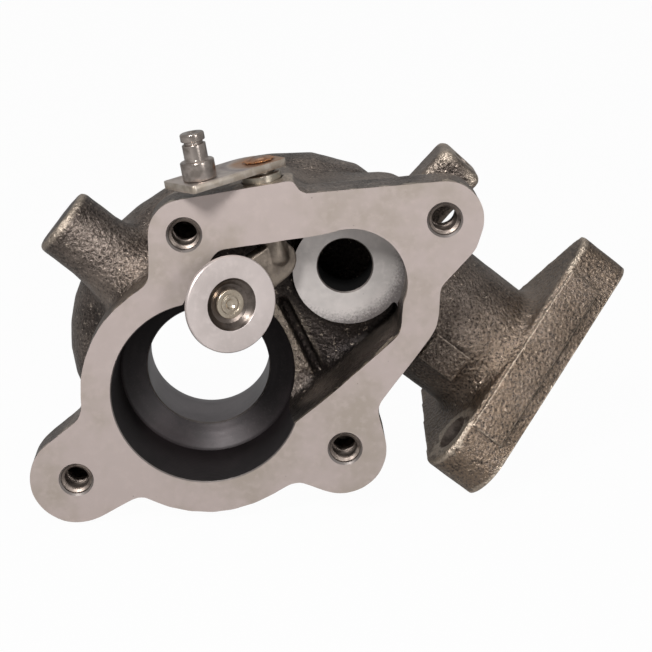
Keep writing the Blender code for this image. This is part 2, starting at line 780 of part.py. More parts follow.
def hull_outline(start, start_radius, end, end_radius):
    """Return the outline round two circles that stand beside each other."""
    start, end = Vector(start), Vector(end)
    run = end - start
    heading = atan2(run.y, run.x)
    spread = pi / 2 + atan2(end_radius - start_radius, hypot(run.x, run.y))
    points = []
    for centre, radius, first, last in (
        (start, start_radius, heading + spread, heading + 2 * pi - spread),
        (end, end_radius, heading - spread, heading + spread),
    ):
        for step in range(11):
            angle = first + (last - first) * step / 10
            points.append(centre + radius * Vector((cos(angle), sin(angle))))
    return points


def make_arm(parts, tools, arm_frame):
    """Make the shaft with its crank arm, one forging, and the hole for the valve's stem."""
    half = ARM_THICKNESS / 2
    outline = hull_outline((0.0002, -0.0030), ARM_HUB_RADIUS, (ARM_REACH, -ARM_DROP), ARM_EYE_RADIUS)
    arm = extruded_outline("wastegate_arm", outline, -half, half, parts, arm_frame)
    soften(arm, 0.0007)
    top = lever_base() + LEVER_THICKNESS
    profile = [
        (0, -ARM_DROP * 0.45),
        (SHAFT_RADIUS * 0.7, -ARM_DROP * 0.45),
        (SHAFT_RADIUS, -ARM_DROP * 0.30),
        (SHAFT_RADIUS, lever_base() - 0.0004),
        (SHAFT_RADIUS, top + SEAT_GAP),
        (WELD_RADIUS, top + SEAT_GAP),
        (WELD_RADIUS * 0.86, top + WELD_HEIGHT * 0.7),
        (WELD_RADIUS * 0.50, top + WELD_HEIGHT),
        (SHAFT_RADIUS * 0.55, top + WELD_HEIGHT * 1.7),
        (0, top + WELD_HEIGHT * 1.9),
    ]
    shaft = turned("shaft", profile, tools, arm_frame, ROUND_STEPS - 8)
    stem_frame = arm_frame @ Matrix.Translation((ARM_REACH, 0, -ARM_DROP))
    into = arm_frame.to_3x3() @ INWARD
    start = stem_frame @ Vector((0, -half - 0.002, 0))
    stem_hole = cylinder("stem_hole", RIVET_STEM_RADIUS + SEAT_GAP, start, into, ARM_THICKNESS + 0.004, tools)
    combine(arm, "UNION", shaft)
    combine(arm, "DIFFERENCE", stem_hole)
    return arm


def valve_frame(arm_frame):
    """Return the valve's frame: Z runs along its stem towards the seat, from the shaft's depth."""
    return arm_frame @ along(Vector((ARM_REACH, 0, -ARM_DROP)), INWARD)


def make_valve(parts, arm_frame):
    """Make the valve disc, its rivet and the washer that keeps it."""
    frame = valve_frame(arm_frame)
    face = SEAT_DEPTH - SHAFT_SETBACK - SEAT_GAP
    back = face - DISC_HEIGHT
    bore = RIVET_STEM_RADIUS + SEAT_GAP
    edge = 0.0003
    dish_floor = face - DISH_DEPTH
    dish_lip = 0.0009
    disc_profile = [
        (bore, back),
        (DISC_BACK_RADIUS, back),
        (DISC_BACK_RADIUS + 0.0018, back + 0.0009),
        (DISC_RADIUS - 0.0022, face - DISC_RIM - 0.0004),
        (DISC_RADIUS, face - DISC_RIM),
        (DISC_RADIUS, face - edge),
        (DISC_RADIUS - edge, face),
        (DISH_RADIUS, face),
        (DISH_RADIUS - dish_lip, face - 0.0007),
        (RIVET_HEAD_RADIUS + 0.0012, dish_floor + 0.0003),
        (RIVET_HEAD_RADIUS + 0.0003, dish_floor),
        (bore, dish_floor),
    ]
    disc = turned("valve_disc", disc_profile, parts, frame, ROUND_STEPS + 8)
    washer_top = -ARM_THICKNESS / 2 - SEAT_GAP
    washer_low = washer_top - WASHER_THICKNESS
    washer_profile = [
        (bore, washer_low), (WASHER_RADIUS - edge, washer_low), (WASHER_RADIUS, washer_low + edge),
        (WASHER_RADIUS, washer_top - edge), (WASHER_RADIUS - edge, washer_top), (bore, washer_top),
    ]
    washer = turned("valve_washer", washer_profile, parts, frame, SMALL_ROUND_STEPS + 4)
    head_low = dish_floor + SEAT_GAP
    head_high = head_low + RIVET_HEAD_HEIGHT
    tail_high = washer_low - SEAT_GAP
    rivet_profile = [
        (0, tail_high - RIVET_TAIL_HEIGHT),
        (RIVET_TAIL_RADIUS * 0.6, tail_high - RIVET_TAIL_HEIGHT * 0.92),
        (RIVET_TAIL_RADIUS * 0.92, tail_high - RIVET_TAIL_HEIGHT * 0.5),
        (RIVET_TAIL_RADIUS, tail_high),
        (RIVET_STEM_RADIUS, tail_high),
        (RIVET_STEM_RADIUS, head_low),
        (RIVET_HEAD_RADIUS, head_low),
        (RIVET_HEAD_RADIUS, head_high - 0.0003),
        (RIVET_HEAD_RADIUS * 0.9, head_high),
        (RIVET_HEAD_RADIUS * 0.62, head_high),
        (RIVET_HEAD_RADIUS * 0.55, head_high - 0.0003),
        (RIVET_HEAD_RADIUS * 0.34, head_high - 0.0003),
        (RIVET_HEAD_RADIUS * 0.26, head_high - 0.0006),
        (0, head_high - 0.0008),
    ]
    rivet = turned("valve_rivet", rivet_profile, parts, frame, SMALL_ROUND_STEPS + 4)
    return disc, rivet, washer


def make_lever(parts, tools, arm_frame):
    """Make the outside lever and the stepped pin that the actuator's rod hooks on."""
    low = lever_base()
    top = low + LEVER_THICKNESS
    end = LEVER_REACH + LEVER_END
    outline = rounded_outline([
        (end, -LEVER_BACK, 0.0012), (end, LEVER_FRONT, 0.0012),
        (-LEVER_TAIL, LEVER_FRONT, 0.0014), (-LEVER_TAIL, -LEVER_BACK, 0.0090),
    ])
    flat = arm_frame @ Matrix.Rotation(-pi / 2, 4, "X") @ Matrix.Translation((0, -top, 0))
    lever = extruded_outline("lever_plate", outline, 0, LEVER_THICKNESS, parts, flat)
    soften(lever, 0.0003, 1)
    up = arm_frame.to_3x3() @ Vector((0, 0, 1))
    shaft_start = arm_frame @ Vector((0, 0, low - 0.001))
    shaft_bore = SHAFT_RADIUS + SEAT_GAP
    combine(lever, "DIFFERENCE", cylinder("shaft_bore", shaft_bore, shaft_start, up, 0.006, tools, 32))
    pin_start = arm_frame @ Vector((LEVER_REACH, 0, low - 0.001))
    pin_bore = PIN_SPIGOT_RADIUS + SEAT_GAP
    combine(lever, "DIFFERENCE", cylinder("pin_bore", pin_bore, pin_start, up, 0.006, tools))
    collar = top + SEAT_GAP
    shank = collar + PIN_COLLAR_HEIGHT
    groove = shank + PIN_SHANK_HEIGHT
    head = groove + PIN_GROOVE_HEIGHT
    tip = head + PIN_HEAD_HEIGHT
    edge = 0.0004
    profile = [
        (0, low - edge),
        (PIN_SPIGOT_RADIUS, low - edge),
        (PIN_SPIGOT_RADIUS, collar),
        (PIN_COLLAR_RADIUS - edge * 0.5, collar),
        (PIN_COLLAR_RADIUS, collar + edge),
        (PIN_COLLAR_RADIUS, shank - edge),
        (PIN_COLLAR_RADIUS - edge, shank),
        (PIN_SHANK_RADIUS, shank),
        (PIN_SHANK_RADIUS, groove - edge * 0.5),
        (PIN_GROOVE_RADIUS, groove),
        (PIN_GROOVE_RADIUS, head),
        (PIN_HEAD_RADIUS, head + edge * 0.5),
        (PIN_HEAD_RADIUS, tip - edge * 1.5),
        (PIN_HEAD_RADIUS - edge, tip - edge * 0.4),
        (PIN_HEAD_RADIUS - edge * 3, tip),
        (0, tip),
    ]
    place = arm_frame @ Matrix.Translation((LEVER_REACH, 0, 0))
    pin = turned("lever_pin", profile, parts, place, SMALL_ROUND_STEPS + 4)
    return lever, pin


def set_pivot(obj, frame):
    """Move an object's origin and axes to a frame and leave its shape where it is."""
    bpy.context.view_layer.update()
    move = frame.inverted() @ obj.matrix_world
    obj.data.transform(move)
    obj.matrix_world = frame


def stand_on_floor(parts, root):
    """Move the root so that the origin is the middle of the footprint, on the floor."""
    bpy.context.view_layer.update()
    graph = bpy.context.evaluated_depsgraph_get()
    corners = []
    for obj in parts.objects:
        shape = obj.evaluated_get(graph)
        corners += [shape.matrix_world @ vert.co for vert in shape.data.vertices]
    low = Vector([min(corner[axis] for corner in corners) for axis in range(3)])
    high = Vector([max(corner[axis] for corner in corners) for axis in range(3)])
    root.location = (-(low.x + high.x) / 2, -(low.y + high.y) / 2, -low.z)


def main():
    """Build the whole assembly."""
    clear_scene()
    parts = new_collection("turbine_housing_assembly")
    forms = new_collection("casting_forms")
    pocket = new_collection("casting_pocket")
    added = new_collection("casting_seat_boss")
    cuts = new_collection("casting_cutters")
    tools = new_collection("small_cutters")

    cast_iron = make_material("cast_iron", (0.16, 0.14, 0.13), 0.55, 0.75)
    bush_steel = make_material("bush_steel", (0.30, 0.27, 0.26), 0.40, 0.90)
    arm_steel = make_material("arm_steel", (0.36, 0.31, 0.27), 0.45, 0.85)
    valve_steel = make_material("valve_steel", (0.52, 0.47, 0.46), 0.32, 0.90)
    rivet_steel = make_material("rivet_steel", (0.58, 0.50, 0.40), 0.25, 0.95)
    zinc_plate = make_material("zinc_plate", (0.56, 0.52, 0.42), 0.30, 0.90)
    pin_steel = make_material("pin_steel", (0.55, 0.52, 0.50), 0.28, 0.95)

    closed = shaft_frame()
    arm_frame = closed @ Matrix.Rotation(-OPEN_ANGLE, 4, "Z")
    housing = make_housing(parts, forms, pocket, added, cuts)
    bush = make_bush(parts, closed)
    arm = make_arm(parts, tools, arm_frame)
    disc, rivet, washer = make_valve(parts, arm_frame)
    lever, pin = make_lever(parts, tools, arm_frame @ Matrix.Rotation(LEVER_TWIST, 4, "Z"))
    set_pivot(arm, arm_frame)
    set_pivot(lever, arm_frame)

    finishes = (
        (housing, cast_iron), (bush, bush_steel), (arm, arm_steel), (disc, valve_steel),
        (rivet, rivet_steel), (washer, arm_steel), (lever, zinc_plate), (pin, pin_steel),
    )
    for obj, material in finishes:
        obj.data.materials.clear()
        obj.data.materials.append(material)

    root = bpy.data.objects.new("footprint_middle", None)
    bpy.context.scene.collection.objects.link(root)
    for collection in (parts, forms, pocket, added, cuts, tools):
        for obj in collection.objects:
            place = obj.matrix_world.copy()
            obj.parent = root
            obj.matrix_world = place
    for collection in (forms, pocket, added, cuts, tools):
        hide_tools(collection)
    stand_on_floor(parts, root)


main()
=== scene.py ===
"""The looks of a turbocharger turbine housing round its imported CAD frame.

The modelling frame has its origin on the turbine axis at the outlet face: X to the right, Y into the
housing, Z up. PLACE is where that origin lies in the row frame. Every size is in metres.
"""
import json
import logging
from dataclasses import dataclass
from enum import IntEnum
from math import cos, hypot, pi, radians, sin, tan
from typing import Callable, Dict, Iterable, List, Optional, Sequence, Tuple, Union

import bmesh
import bpy
import numpy as np
from bmesh.types import BMesh
from bpy.types import Material, Mesh, NodeSocket, NodeTree, Object
from mathutils import Matrix, Vector, noise


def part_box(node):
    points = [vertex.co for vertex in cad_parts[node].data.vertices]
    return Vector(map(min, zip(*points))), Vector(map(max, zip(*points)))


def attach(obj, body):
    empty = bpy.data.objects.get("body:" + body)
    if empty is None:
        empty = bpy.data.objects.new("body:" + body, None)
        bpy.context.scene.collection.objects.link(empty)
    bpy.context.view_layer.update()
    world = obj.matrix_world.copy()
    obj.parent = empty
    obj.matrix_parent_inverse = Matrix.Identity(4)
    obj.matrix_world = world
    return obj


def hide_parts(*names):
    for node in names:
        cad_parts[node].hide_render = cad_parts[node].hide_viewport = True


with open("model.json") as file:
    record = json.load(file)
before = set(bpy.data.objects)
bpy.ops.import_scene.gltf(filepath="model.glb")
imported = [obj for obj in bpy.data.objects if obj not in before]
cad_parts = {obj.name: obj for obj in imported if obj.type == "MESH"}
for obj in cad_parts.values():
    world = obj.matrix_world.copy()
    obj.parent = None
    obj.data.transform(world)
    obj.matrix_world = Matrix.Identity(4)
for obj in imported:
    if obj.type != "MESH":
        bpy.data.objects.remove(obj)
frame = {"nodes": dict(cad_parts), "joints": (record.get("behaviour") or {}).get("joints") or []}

LOG = logging.getLogger("turbine_housing")

Pair = Tuple[float, float]
Triple = Tuple[float, float, float]

PLACE = Vector((-0.041824, -0.036341, 0.0435))
INWARD = Vector((0, 1, 0))
NECK_SLOPE = radians(38.5)
INLET_OUT = Vector((cos(NECK_SLOPE), 0, -sin(NECK_SLOPE)))
FACE_LINE = Vector((sin(NECK_SLOPE), 0, cos(NECK_SLOPE)))

ON_AXIS = 1e-6  # a ring under this radius is a point of the axis
ON_PLANE = 0.00003  # a vertex within this distance lies on a flat face
SMOOTH_SHARE = 0.5  # how far one round of smoothing moves a vertex to its neighbours' middle
HELD_SHARE = 0.3  # how much of that a held vertex still moves
FILL_SHARE = 0.6  # how far one round of filling moves a vertex in an inner corner
FULL_PULL = 0.000025  # the inward pull of a corner that fills at the full rate
FULL_HOLLOW = 0.0004  # the hollow that counts as 1 in the cavity attribute
LONG_EDGE = 0.0030  # edges past this length belong to crisp flat faces
CREASE = 40  # the least angle of a sharp edge on a small turned piece, in degrees


class Region(IntEnum):
    """The casting's surfaces, each with a finish of its own."""

    CAST = 0
    FACE = 1
    CHAMBER = 2
    BORE = 3
    SEAT = 4
    PORT = 5
    CHAMFER = 6
    TAPPED = 7


# Meshes ------------------------------------------------------


@dataclass(frozen=True)
class Ring:
    """One corner of a turned profile, with the region of the surface that leads up to it."""

    radius: float
    height: float
    region: int = 0


def link(name: str, mesh: Mesh) -> Object:
    """Put a mesh in the scene.

    Args:
        name: The object's name.
        mesh: The mesh that it shows.

    Returns:
        The new object, at the origin.
    """
    obj = bpy.data.objects.new(name, mesh)
    bpy.context.scene.collection.objects.link(obj)
    return obj


def mesh_from(name: str, fill: Callable[[BMesh], None]) -> Object:
    """Make an object from a function that fills a bmesh.

    Args:
        name: The object's name.
        fill: What adds the vertices and faces.

    Returns:
        The new object, with its faces turned outward.
    """
    bm = bmesh.new()
    fill(bm)
    bmesh.ops.recalc_face_normals(bm, faces=bm.faces)
    mesh = bpy.data.meshes.new(name)
    bm.to_mesh(mesh)
    bm.free()
    return link(name, mesh)


def lathe(name: str, rings: Sequence[Ring], place: Matrix, steps: int = 96) -> Object:
    """Turn a profile about Z.

    Args:
        name: The object's name.
        rings: The profile's corners. It closes to a ring where it doesn't start on the axis.
        place: The frame that the profile stands in.
        steps: The number of flats round it.

    Returns:
        The turned object.
    """

    def fill(bm: BMesh) -> None:
        """Add a loop of vertices for each ring and the faces between them.

        Args:
            bm: What is filled.
        """
        loops = []
        for ring in rings:
            count = 1 if ring.radius < ON_AXIS else steps
            turns = [2 * pi * step / steps for step in range(count)]
            loops.append([
                bm.verts.new(place @ Vector((ring.radius * cos(t), ring.radius * sin(t), ring.height)))
                for t in turns
            ])
        pairs = list(zip(loops, loops[1:], rings[1:]))
        if rings[0].radius > ON_AXIS:
            pairs.append((loops[-1], loops[0], rings[0]))
        for low, high, ring in pairs:
            for step in range(steps):
                corners = [
                    low[step % len(low)],
                    low[(step + 1) % len(low)],
                    high[(step + 1) % len(high)],
                    high[step % len(high)],
                ]
                unique = list(dict.fromkeys(corners))
                if len(unique) > 2:
                    bm.faces.new(unique).material_index = int(ring.region)

    return mesh_from(name, fill)


def rings_of(*corners: Tuple[float, ...]) -> Tuple[Ring, ...]:
    """Return a ring for each corner of radius, height and region."""
    return tuple(Ring(*corner) for corner in corners)


def rounded(points: Sequence[Tuple[float, ...]], steps: int = 6) -> List[Ring]:
    """Round a profile's corners.

    Args:
        points: Corners as radius, height, fillet radius and region, the last two optional.
        steps: The number of flats in a fillet.

    Returns:
        The profile's rings.
    """
    rings: List[Ring] = []
    for index, point in enumerate(points):
        here = Vector(point[:2])
        fillet = point[2] if len(point) > 2 else 0.0
        region = int(point[3]) if len(point) > 3 else 0
        if fillet <= 0 or index in (0, len(points) - 1):
            rings.append(Ring(here.x, here.y, region))
            continue
        before = (Vector(points[index - 1][:2]) - here).normalized()
        after = (Vector(points[index + 1][:2]) - here).normalized()
        half = before.angle(after) / 2
        setback = fillet / tan(half)
        centre = here + (before + after).normalized() * (fillet / sin(half))
        start = here + before * setback - centre
        end = here + after * setback - centre
        sweep = start.angle_signed(end)
        for step in range(steps + 1):
            turn = Matrix.Rotation(-sweep * step / steps, 2)
            spot = centre + turn @ start
            rings.append(Ring(spot.x, spot.y, region))
    return rings


def turned(
    name: str,
    points: Sequence[Tuple[float, ...]],
    place: Matrix,
    steps: int,
    materials: Sequence[Material],
) -> Object:
    """Make a finished turned piece.

    Args:
        name: Its name.
        points: Its profile's corners, as rounded takes them.
        place: The frame that it stands in.
        steps: The number of flats round it.
        materials: Its finishes.

    Returns:
        The piece.
    """
    obj = lathe(name, rounded(points), place, steps)
    finish_mesh(obj, materials, CREASE)
    return obj


def box(name: str, size: Sequence[float], place: Matrix, region: int = 0) -> Object:
    """Make a block.

    Args:
        name: The object's name.
        size: Its three lengths.
        place: The frame of its middle.
        region: The region that its sides belong to.

    Returns:
        The block.
    """

    def fill(bm: BMesh) -> None:
        """Add the cube and mark its faces.

        Args:
            bm: What is filled.
        """
        bmesh.ops.create_cube(bm, size=1, matrix=place @ Matrix.Diagonal((*size, 1)))
        for face in bm.faces:
            face.material_index = int(region)

    return mesh_from(name, fill)


def facing(point: Vector, direction: Vector) -> Matrix:
    """Return a frame at a point with Z along a direction."""
    return Matrix.Translation(point) @ direction.to_track_quat("Z", "Y").to_matrix().to_4x4()


def cad_copy(node: str, name: str) -> Object:
    """Copy a CAD node's mesh as one welded surface.

    Args:
        node: The CAD node.
        name: The new object's name.

    Returns:
        The copy, with no materials.
    """
    obj = link(name, frame["nodes"][node].data.copy())
    obj.data.name = name
    obj.data.materials.clear()
    bm = bmesh.new()
    bm.from_mesh(obj.data)
    bmesh.ops.remove_doubles(bm, verts=bm.verts, dist=2e-6)
    bmesh.ops.recalc_face_normals(bm, faces=bm.faces)
    bm.to_mesh(obj.data)
    bm.free()
    return obj


def settle(obj: Object) -> Object:
    """Turn an object's modifiers into its mesh.

    Args:
        obj: The object with modifiers.

    Returns:
        The same object, with a plain mesh.
    """
    graph = bpy.context.evaluated_depsgraph_get()
    graph.update()
    made = bpy.data.meshes.new_from_object(obj.evaluated_get(graph), depsgraph=graph)
    old = obj.data
    obj.modifiers.clear()
    obj.data = made
    made.name = obj.name
    if not old.users:
        bpy.data.meshes.remove(old)
    return obj


def modify(obj: Object, kind: str, **settings: object) -> None:
    """Add a modifier to an object.

    Args:
        obj: The object.
        kind: The modifier's type.
        settings: Its properties.
    """
    modifier = obj.modifiers.new(kind.lower(), kind)
    for key, value in settings.items():
        setattr(modifier, key, value)


def combine(obj: Object, operation: str, solids: Iterable[Object]) -> None:
    """Add solids to an object or cut them out of it, and remove them. Their faces keep their regions.

    Args:
        obj: What they change.
        operation: UNION or DIFFERENCE.
        solids: The solids.
    """
    tools = list(solids)
    shelf = bpy.data.collections.new("cutters")
    for tool in tools:
        shelf.objects.link(tool)
    modify(obj, "BOOLEAN", operation=operation, solver="MANIFOLD", operand_type="COLLECTION", collection=shelf)
    settle(obj)
    bpy.data.collections.remove(shelf)
    for tool in tools:
        mesh = tool.data
        bpy.data.objects.remove(tool)
        bpy.data.meshes.remove(mesh)


def vectors(mesh: Mesh, name: str = "co") -> np.ndarray:
    """Return a vector for each vertex of a mesh.

    Args:
        mesh: The mesh.
        name: co for their places, normal for their normals.

    Returns:
        An array of vectors.
    """
    flat = np.empty(len(mesh.vertices) * 3)
    mesh.vertices.foreach_get(name, flat)
    return flat.reshape(-1, 3)


def store(mesh: Mesh, name: str, values: np.ndarray) -> None:
    """Store a value at each vertex in a new attribute, for a material to read."""
    attribute = mesh.attributes.new(name, "FLOAT", "POINT")
    attribute.data.foreach_set("value", values.astype(np.float32))


def set_points(mesh: Mesh, points: np.ndarray) -> None:
    """Move a mesh's vertices to new places."""
    mesh.vertices.foreach_set("co", points.astype(np.float32).ravel())
    mesh.update()


class Neighbours:
    """Which vertices of a mesh an edge joins, for averages over a vertex's neighbours."""

    def __init__(self, mesh: Mesh) -> None:
        """Read the edges, each in both directions.

        Args:
            mesh: The mesh.
        """
        ends = np.empty(len(mesh.edges) * 2, np.int64)
        mesh.edges.foreach_get("vertices", ends)
        ends = ends.reshape(-1, 2)
        self.count = len(mesh.vertices)
        self.here = np.concatenate((ends[:, 0], ends[:, 1]))
        self.there = np.concatenate((ends[:, 1], ends[:, 0]))
        self.share = 1 / np.maximum(np.bincount(self.here, minlength=self.count), 1)

    def longest(self, points: np.ndarray) -> np.ndarray:
        """Return the length of the longest edge at each vertex.

        Args:
            points: The vertices' places.

        Returns:
            One length for each vertex.
        """
        found = np.zeros(self.count)
        np.maximum.at(found, self.here, np.linalg.norm(points[self.here] - points[self.there], axis=1))
        return found

    def mean(self, values: np.ndarray) -> np.ndarray:
        """Average values over each vertex's neighbours.

        Args:
            values: One value or vector for each vertex.

        Returns:
            The averages.
        """
        if values.ndim == 1:
            return np.bincount(self.here, values[self.there], self.count) * self.share
        return np.stack([self.mean(column) for column in values.T], 1)


def weather(
    obj: Object,
    soften: int,
    fill_steps: int,
    swell: float,
    wave: float,
    hold: Optional[Callable[[np.ndarray], np.ndarray]] = None,
) -> None:
    """Give a remeshed body a casting's rounded edges, filled corners and slightly uneven surface.

    Args:
        obj: The body.
        soften: How many rounds of smoothing its edges get.
        fill_steps: How many rounds of filling its inner corners get.
        swell: The height of its unevenness.
        wave: The length of its unevenness.
        hold: What gives how free each point is, from 0 where fine relief stays crisp to 1.
    """
    mesh = obj.data
    joined = Neighbours(mesh)
    points = vectors(mesh)
    free = hold(points) if hold else np.ones(len(points))
    for _ in range(soften):
        share = SMOOTH_SHARE * (HELD_SHARE + (1 - HELD_SHARE) * free)
        points += share[:, None] * (joined.mean(points) - points)
    for _ in range(fill_steps):
        set_points(mesh, points)
        step = joined.mean(points) - points
        pull = (step * vectors(mesh, "normal")).sum(1)
        for _ in range(3):
            pull = joined.mean(pull)
        share = np.clip(pull / FULL_PULL, 0.0, 1.0)
        points += step * (FILL_SHARE * share * free)[:, None]
    set_points(mesh, points)
    normals = vectors(mesh, "normal")
    lift = np.array([noise.noise(Vector(p) / wave) + 0.5 * noise.noise(Vector(p) * 2.3 / wave) for p in points])
    set_points(mesh, points + normals * (lift * swell)[:, None])


def mark_hollows(
    obj: Object, panels: Sequence[Tuple[Vector, Vector, float]], rounds: int = 6,
) -> None:
    """Store how hollow or proud each vertex lies, in an attribute named cavity from -1 to 1.

    Args:
        obj: The object.
        panels: Each crisp panel's direction, middle and reach. Its own vertices are proud where they turn away.
        rounds: How far the measure is spread.
    """
    mesh = obj.data
    joined = Neighbours(mesh)
    points = vectors(mesh)
    normals = vectors(mesh, "normal")
    spread = points.copy()
    for _ in range(rounds):
        spread = joined.mean(spread)
    hollow = ((spread - points) * normals).sum(1)
    hollow = joined.mean(hollow) / FULL_HOLLOW
    wide = joined.longest(points) > LONG_EDGE
    hollow[wide] = 0.0
    # The panels' rounded edges are marked proud, so that the cast finish lightens them, partly as wear and partly as
    # painted highlight.
    flat, round_off, thickness, rim = 0.985, 0.08, 0.0016, -0.8
    for front, middle, reach in panels:
        away = points - np.array(middle)
        near = wide & (np.linalg.norm(away, axis=1) < reach) & (np.abs(away @ np.array(front)) < thickness)
        hollow[near] = rim * np.clip((flat - np.abs(normals[near] @ np.array(front))) / round_off, 0, 1)
    store(mesh, "cavity", np.clip(hollow, -1, 1))


def finish_mesh(obj: Object, materials: Sequence[Material], angle: float = 32) -> None:
    """Give an object its materials and smooth shading between its sharp edges.

    Args:
        obj: The object.
        materials: Its materials, in the order of its face indices.
        angle: The least angle of a sharp edge, in degrees.
    """
    mesh = obj.data
    indices = np.zeros(len(mesh.polygons), np.int32)
    mesh.polygons.foreach_get("material_index", indices)
    mesh.materials.clear()
    for material in materials:
        mesh.materials.append(material)
    mesh.polygons.foreach_set("material_index", indices)
    mesh.shade_smooth()
    mesh.set_sharp_from_angle(angle=radians(angle))
    mesh.update()


# Finishes ----------------------------------------------------

Number = Union[float, "Wire"]
Colour = Triple


def operator(kind: str, reflected: bool = False) -> Callable[["Wire", Number], "Wire"]:
    """Make an arithmetic method for wires.

    Args:
        kind: What its Math node does.
        reflected: Whether the wire stands on the right.

    Returns:
        The method.
    """

    def method(self: "Wire", other: Number) -> "Wire":
        """Return the result of this value and another."""
        return self.math(kind, other, self) if reflected else self.math(kind, self, other)

    return method


class Wire:
    """A value, vector or colour that flows in a node tree, with plain arithmetic."""

    def __init__(self, graph: "Graph", socket: NodeSocket) -> None:
        """Wrap the output socket that it leaves."""
        self.graph = graph
        self.socket = socket

    def math(self, operation: str, *values: Number) -> "Wire":
        """Return the result of a Math node on some values."""
        return self.graph.add("ShaderNodeMath", {"operation": operation}, dict(enumerate(values)))

    def other(self, name: str) -> "Wire":
        """Return another output of this wire's node."""
        return Wire(self.graph, self.socket.node.outputs[name])

    __add__, __radd__ = operator("ADD"), operator("ADD", True)
    __sub__, __rsub__ = operator("SUBTRACT"), operator("SUBTRACT", True)
    __mul__, __rmul__ = operator("MULTIPLY"), operator("MULTIPLY", True)
    __truediv__, __rtruediv__ = operator("DIVIDE"), operator("DIVIDE", True)

    def __neg__(self) -> "Wire":
        """Return this value with its sign changed."""
        return self * -1.0

    def largest(self, other: Number) -> "Wire":
        """Return the larger of this value and another."""
        return self.math("MAXIMUM", self, other)

    def wave(self) -> "Wire":
        """Return the sine of this value, from 0 to 1."""
        return self.math("SINE", self) * 0.5 + 0.5

    def absolute(self) -> "Wire":
        """Return this value without its sign."""
        return self.math("ABSOLUTE", self)

    def step(self, low: float, high: float) -> "Wire":
        """Return a smooth ramp from 0 at low to 1 at high."""
        settings = {"interpolation_type": "SMOOTHSTEP"}
        return self.graph.add("ShaderNodeMapRange", settings, {"Value": self, "From Min": low, "From Max": high})

    def between(self, low: float, high: float) -> "Wire":
        """Return this value of 0 to 1 spread from low to high."""
        return self.graph.add("ShaderNodeMapRange", {}, {"Value": self, "To Min": low, "To Max": high})


class Graph:
    """A node tree that is filled from empty."""

    def __init__(self, tree: NodeTree) -> None:
        """Clear the tree.

        Args:
            tree: The tree.
        """
        self.nodes = tree.nodes
        self.links = tree.links
        self.nodes.clear()

    def add(
        self,
        kind: str,
        settings: Optional[Dict[str, object]] = None,
        inputs: Optional[Dict[Union[str, int], object]] = None,
        output: Union[str, int] = 0,
    ) -> Wire:
        """Add a node.

        Args:
            kind: Its type.
            settings: Its properties, set before its inputs.
            inputs: Values or wires for its sockets.
            output: The socket that is returned.

        Returns:
            The wire that leaves it.
        """
        node = self.nodes.new(kind)
        for key, value in (settings or {}).items():
            setattr(node, key, value)
        for key, value in (inputs or {}).items():
            socket = node.inputs[key]
            if isinstance(value, Wire):
                self.links.new(value.socket, socket)
            else:
                socket.default_value = value
        return Wire(self, node.outputs[output])

    def close(self, kind: str, name: str, last: Wire) -> None:
        """Add the node that ends the tree, with a wire into its named input."""
        self.links.new(last.socket, self.nodes.new(kind).inputs[name])


class Tree(Graph):
    """A material's nodes."""

    def __init__(self, name: str) -> None:
        """Make the material, with no nodes yet.

        Args:
            name: Its name.
        """
        self.material = bpy.data.materials.new(name)
        self.material.use_nodes = True
        super().__init__(self.material.node_tree)

    def place(self) -> Wire:
        """Return the object's own coordinates."""
        return self.add("ShaderNodeTexCoord", output="Object")

    def attribute(self, name: str) -> Wire:
        """Return a vertex attribute's value."""
        return self.add("ShaderNodeAttribute", {"attribute_name": name}, output="Fac")

    def grain(self, scale: float, detail: float = 4.0, rough: float = 0.6) -> Wire:
        """Return a cloudy noise from 0 to 1, its scale in lumps to a metre."""
        inputs = {"Vector": self.place(), "Scale": scale, "Detail": detail, "Roughness": rough}
        return self.add("ShaderNodeTexNoise", {}, inputs)

    def cells(self, scale: float) -> Wire:
        """Return the distance from the middles of scattered cells, their scale in cells to a metre."""
        return self.add("ShaderNodeTexVoronoi", {}, {"Vector": self.place(), "Scale": scale}, "Distance")

    def blend(self, share: Number, low: Union[Colour, Wire], high: Union[Colour, Wire]) -> Wire:
        """Mix two colours.

        Args:
            share: How much of the second shows.
            low: The first colour.
            high: The second colour.

        Returns:
            The mix.
        """
        low = low if isinstance(low, Wire) else (*low, 1)
        high = high if isinstance(high, Wire) else (*high, 1)
        return self.add("ShaderNodeMix", {"data_type": "RGBA"}, {0: share, 6: low, 7: high}, 2)

    def _from(self, operation: str, origin: Vector, axis: Vector, output: str) -> Wire:
        """Return a product of the way from an axis's origin to this point with the axis."""
        offset = self.add("ShaderNodeVectorMath", {"operation": "SUBTRACT"}, {0: self.place(), 1: tuple(origin)})
        return self.add("ShaderNodeVectorMath", {"operation": operation}, {0: offset, 1: tuple(axis)}, output)

    def frame_axis(self, origin: Vector, axis: Vector) -> Wire:
        """Return how far along an axis from its origin this point lies."""
        return self._from("DOT_PRODUCT", origin, axis, "Value")

    def axis_radius(self, origin: Vector, axis: Vector) -> Wire:
        """Return how far from an axis through its origin this point lies."""
        across = self._from("CROSS_PRODUCT", origin, axis, "Vector")
        return self.add("ShaderNodeVectorMath", {"operation": "LENGTH"}, {0: across}, "Value")

    def surface(
        self, colour: Wire, roughness: Number, metallic: float, height: Wire, depth: float,
    ) -> Material:
        """Close the tree with its shader.

        Args:
            colour: The base colour.
            roughness: The roughness.
            metallic: How metallic it is.
            height: The relief, from 0 to 1.
            depth: The relief's depth.

        Returns:
            The material.
        """
        bump = self.add("ShaderNodeBump", {}, {"Height": height, "Strength": 1.0, "Distance": depth})
        inputs = {"Base Color": colour, "Roughness": roughness, "Metallic": metallic, "Normal": bump}
        self.close("ShaderNodeOutputMaterial", "Surface", self.add("ShaderNodeBsdfPrincipled", {}, inputs))
        return self.material


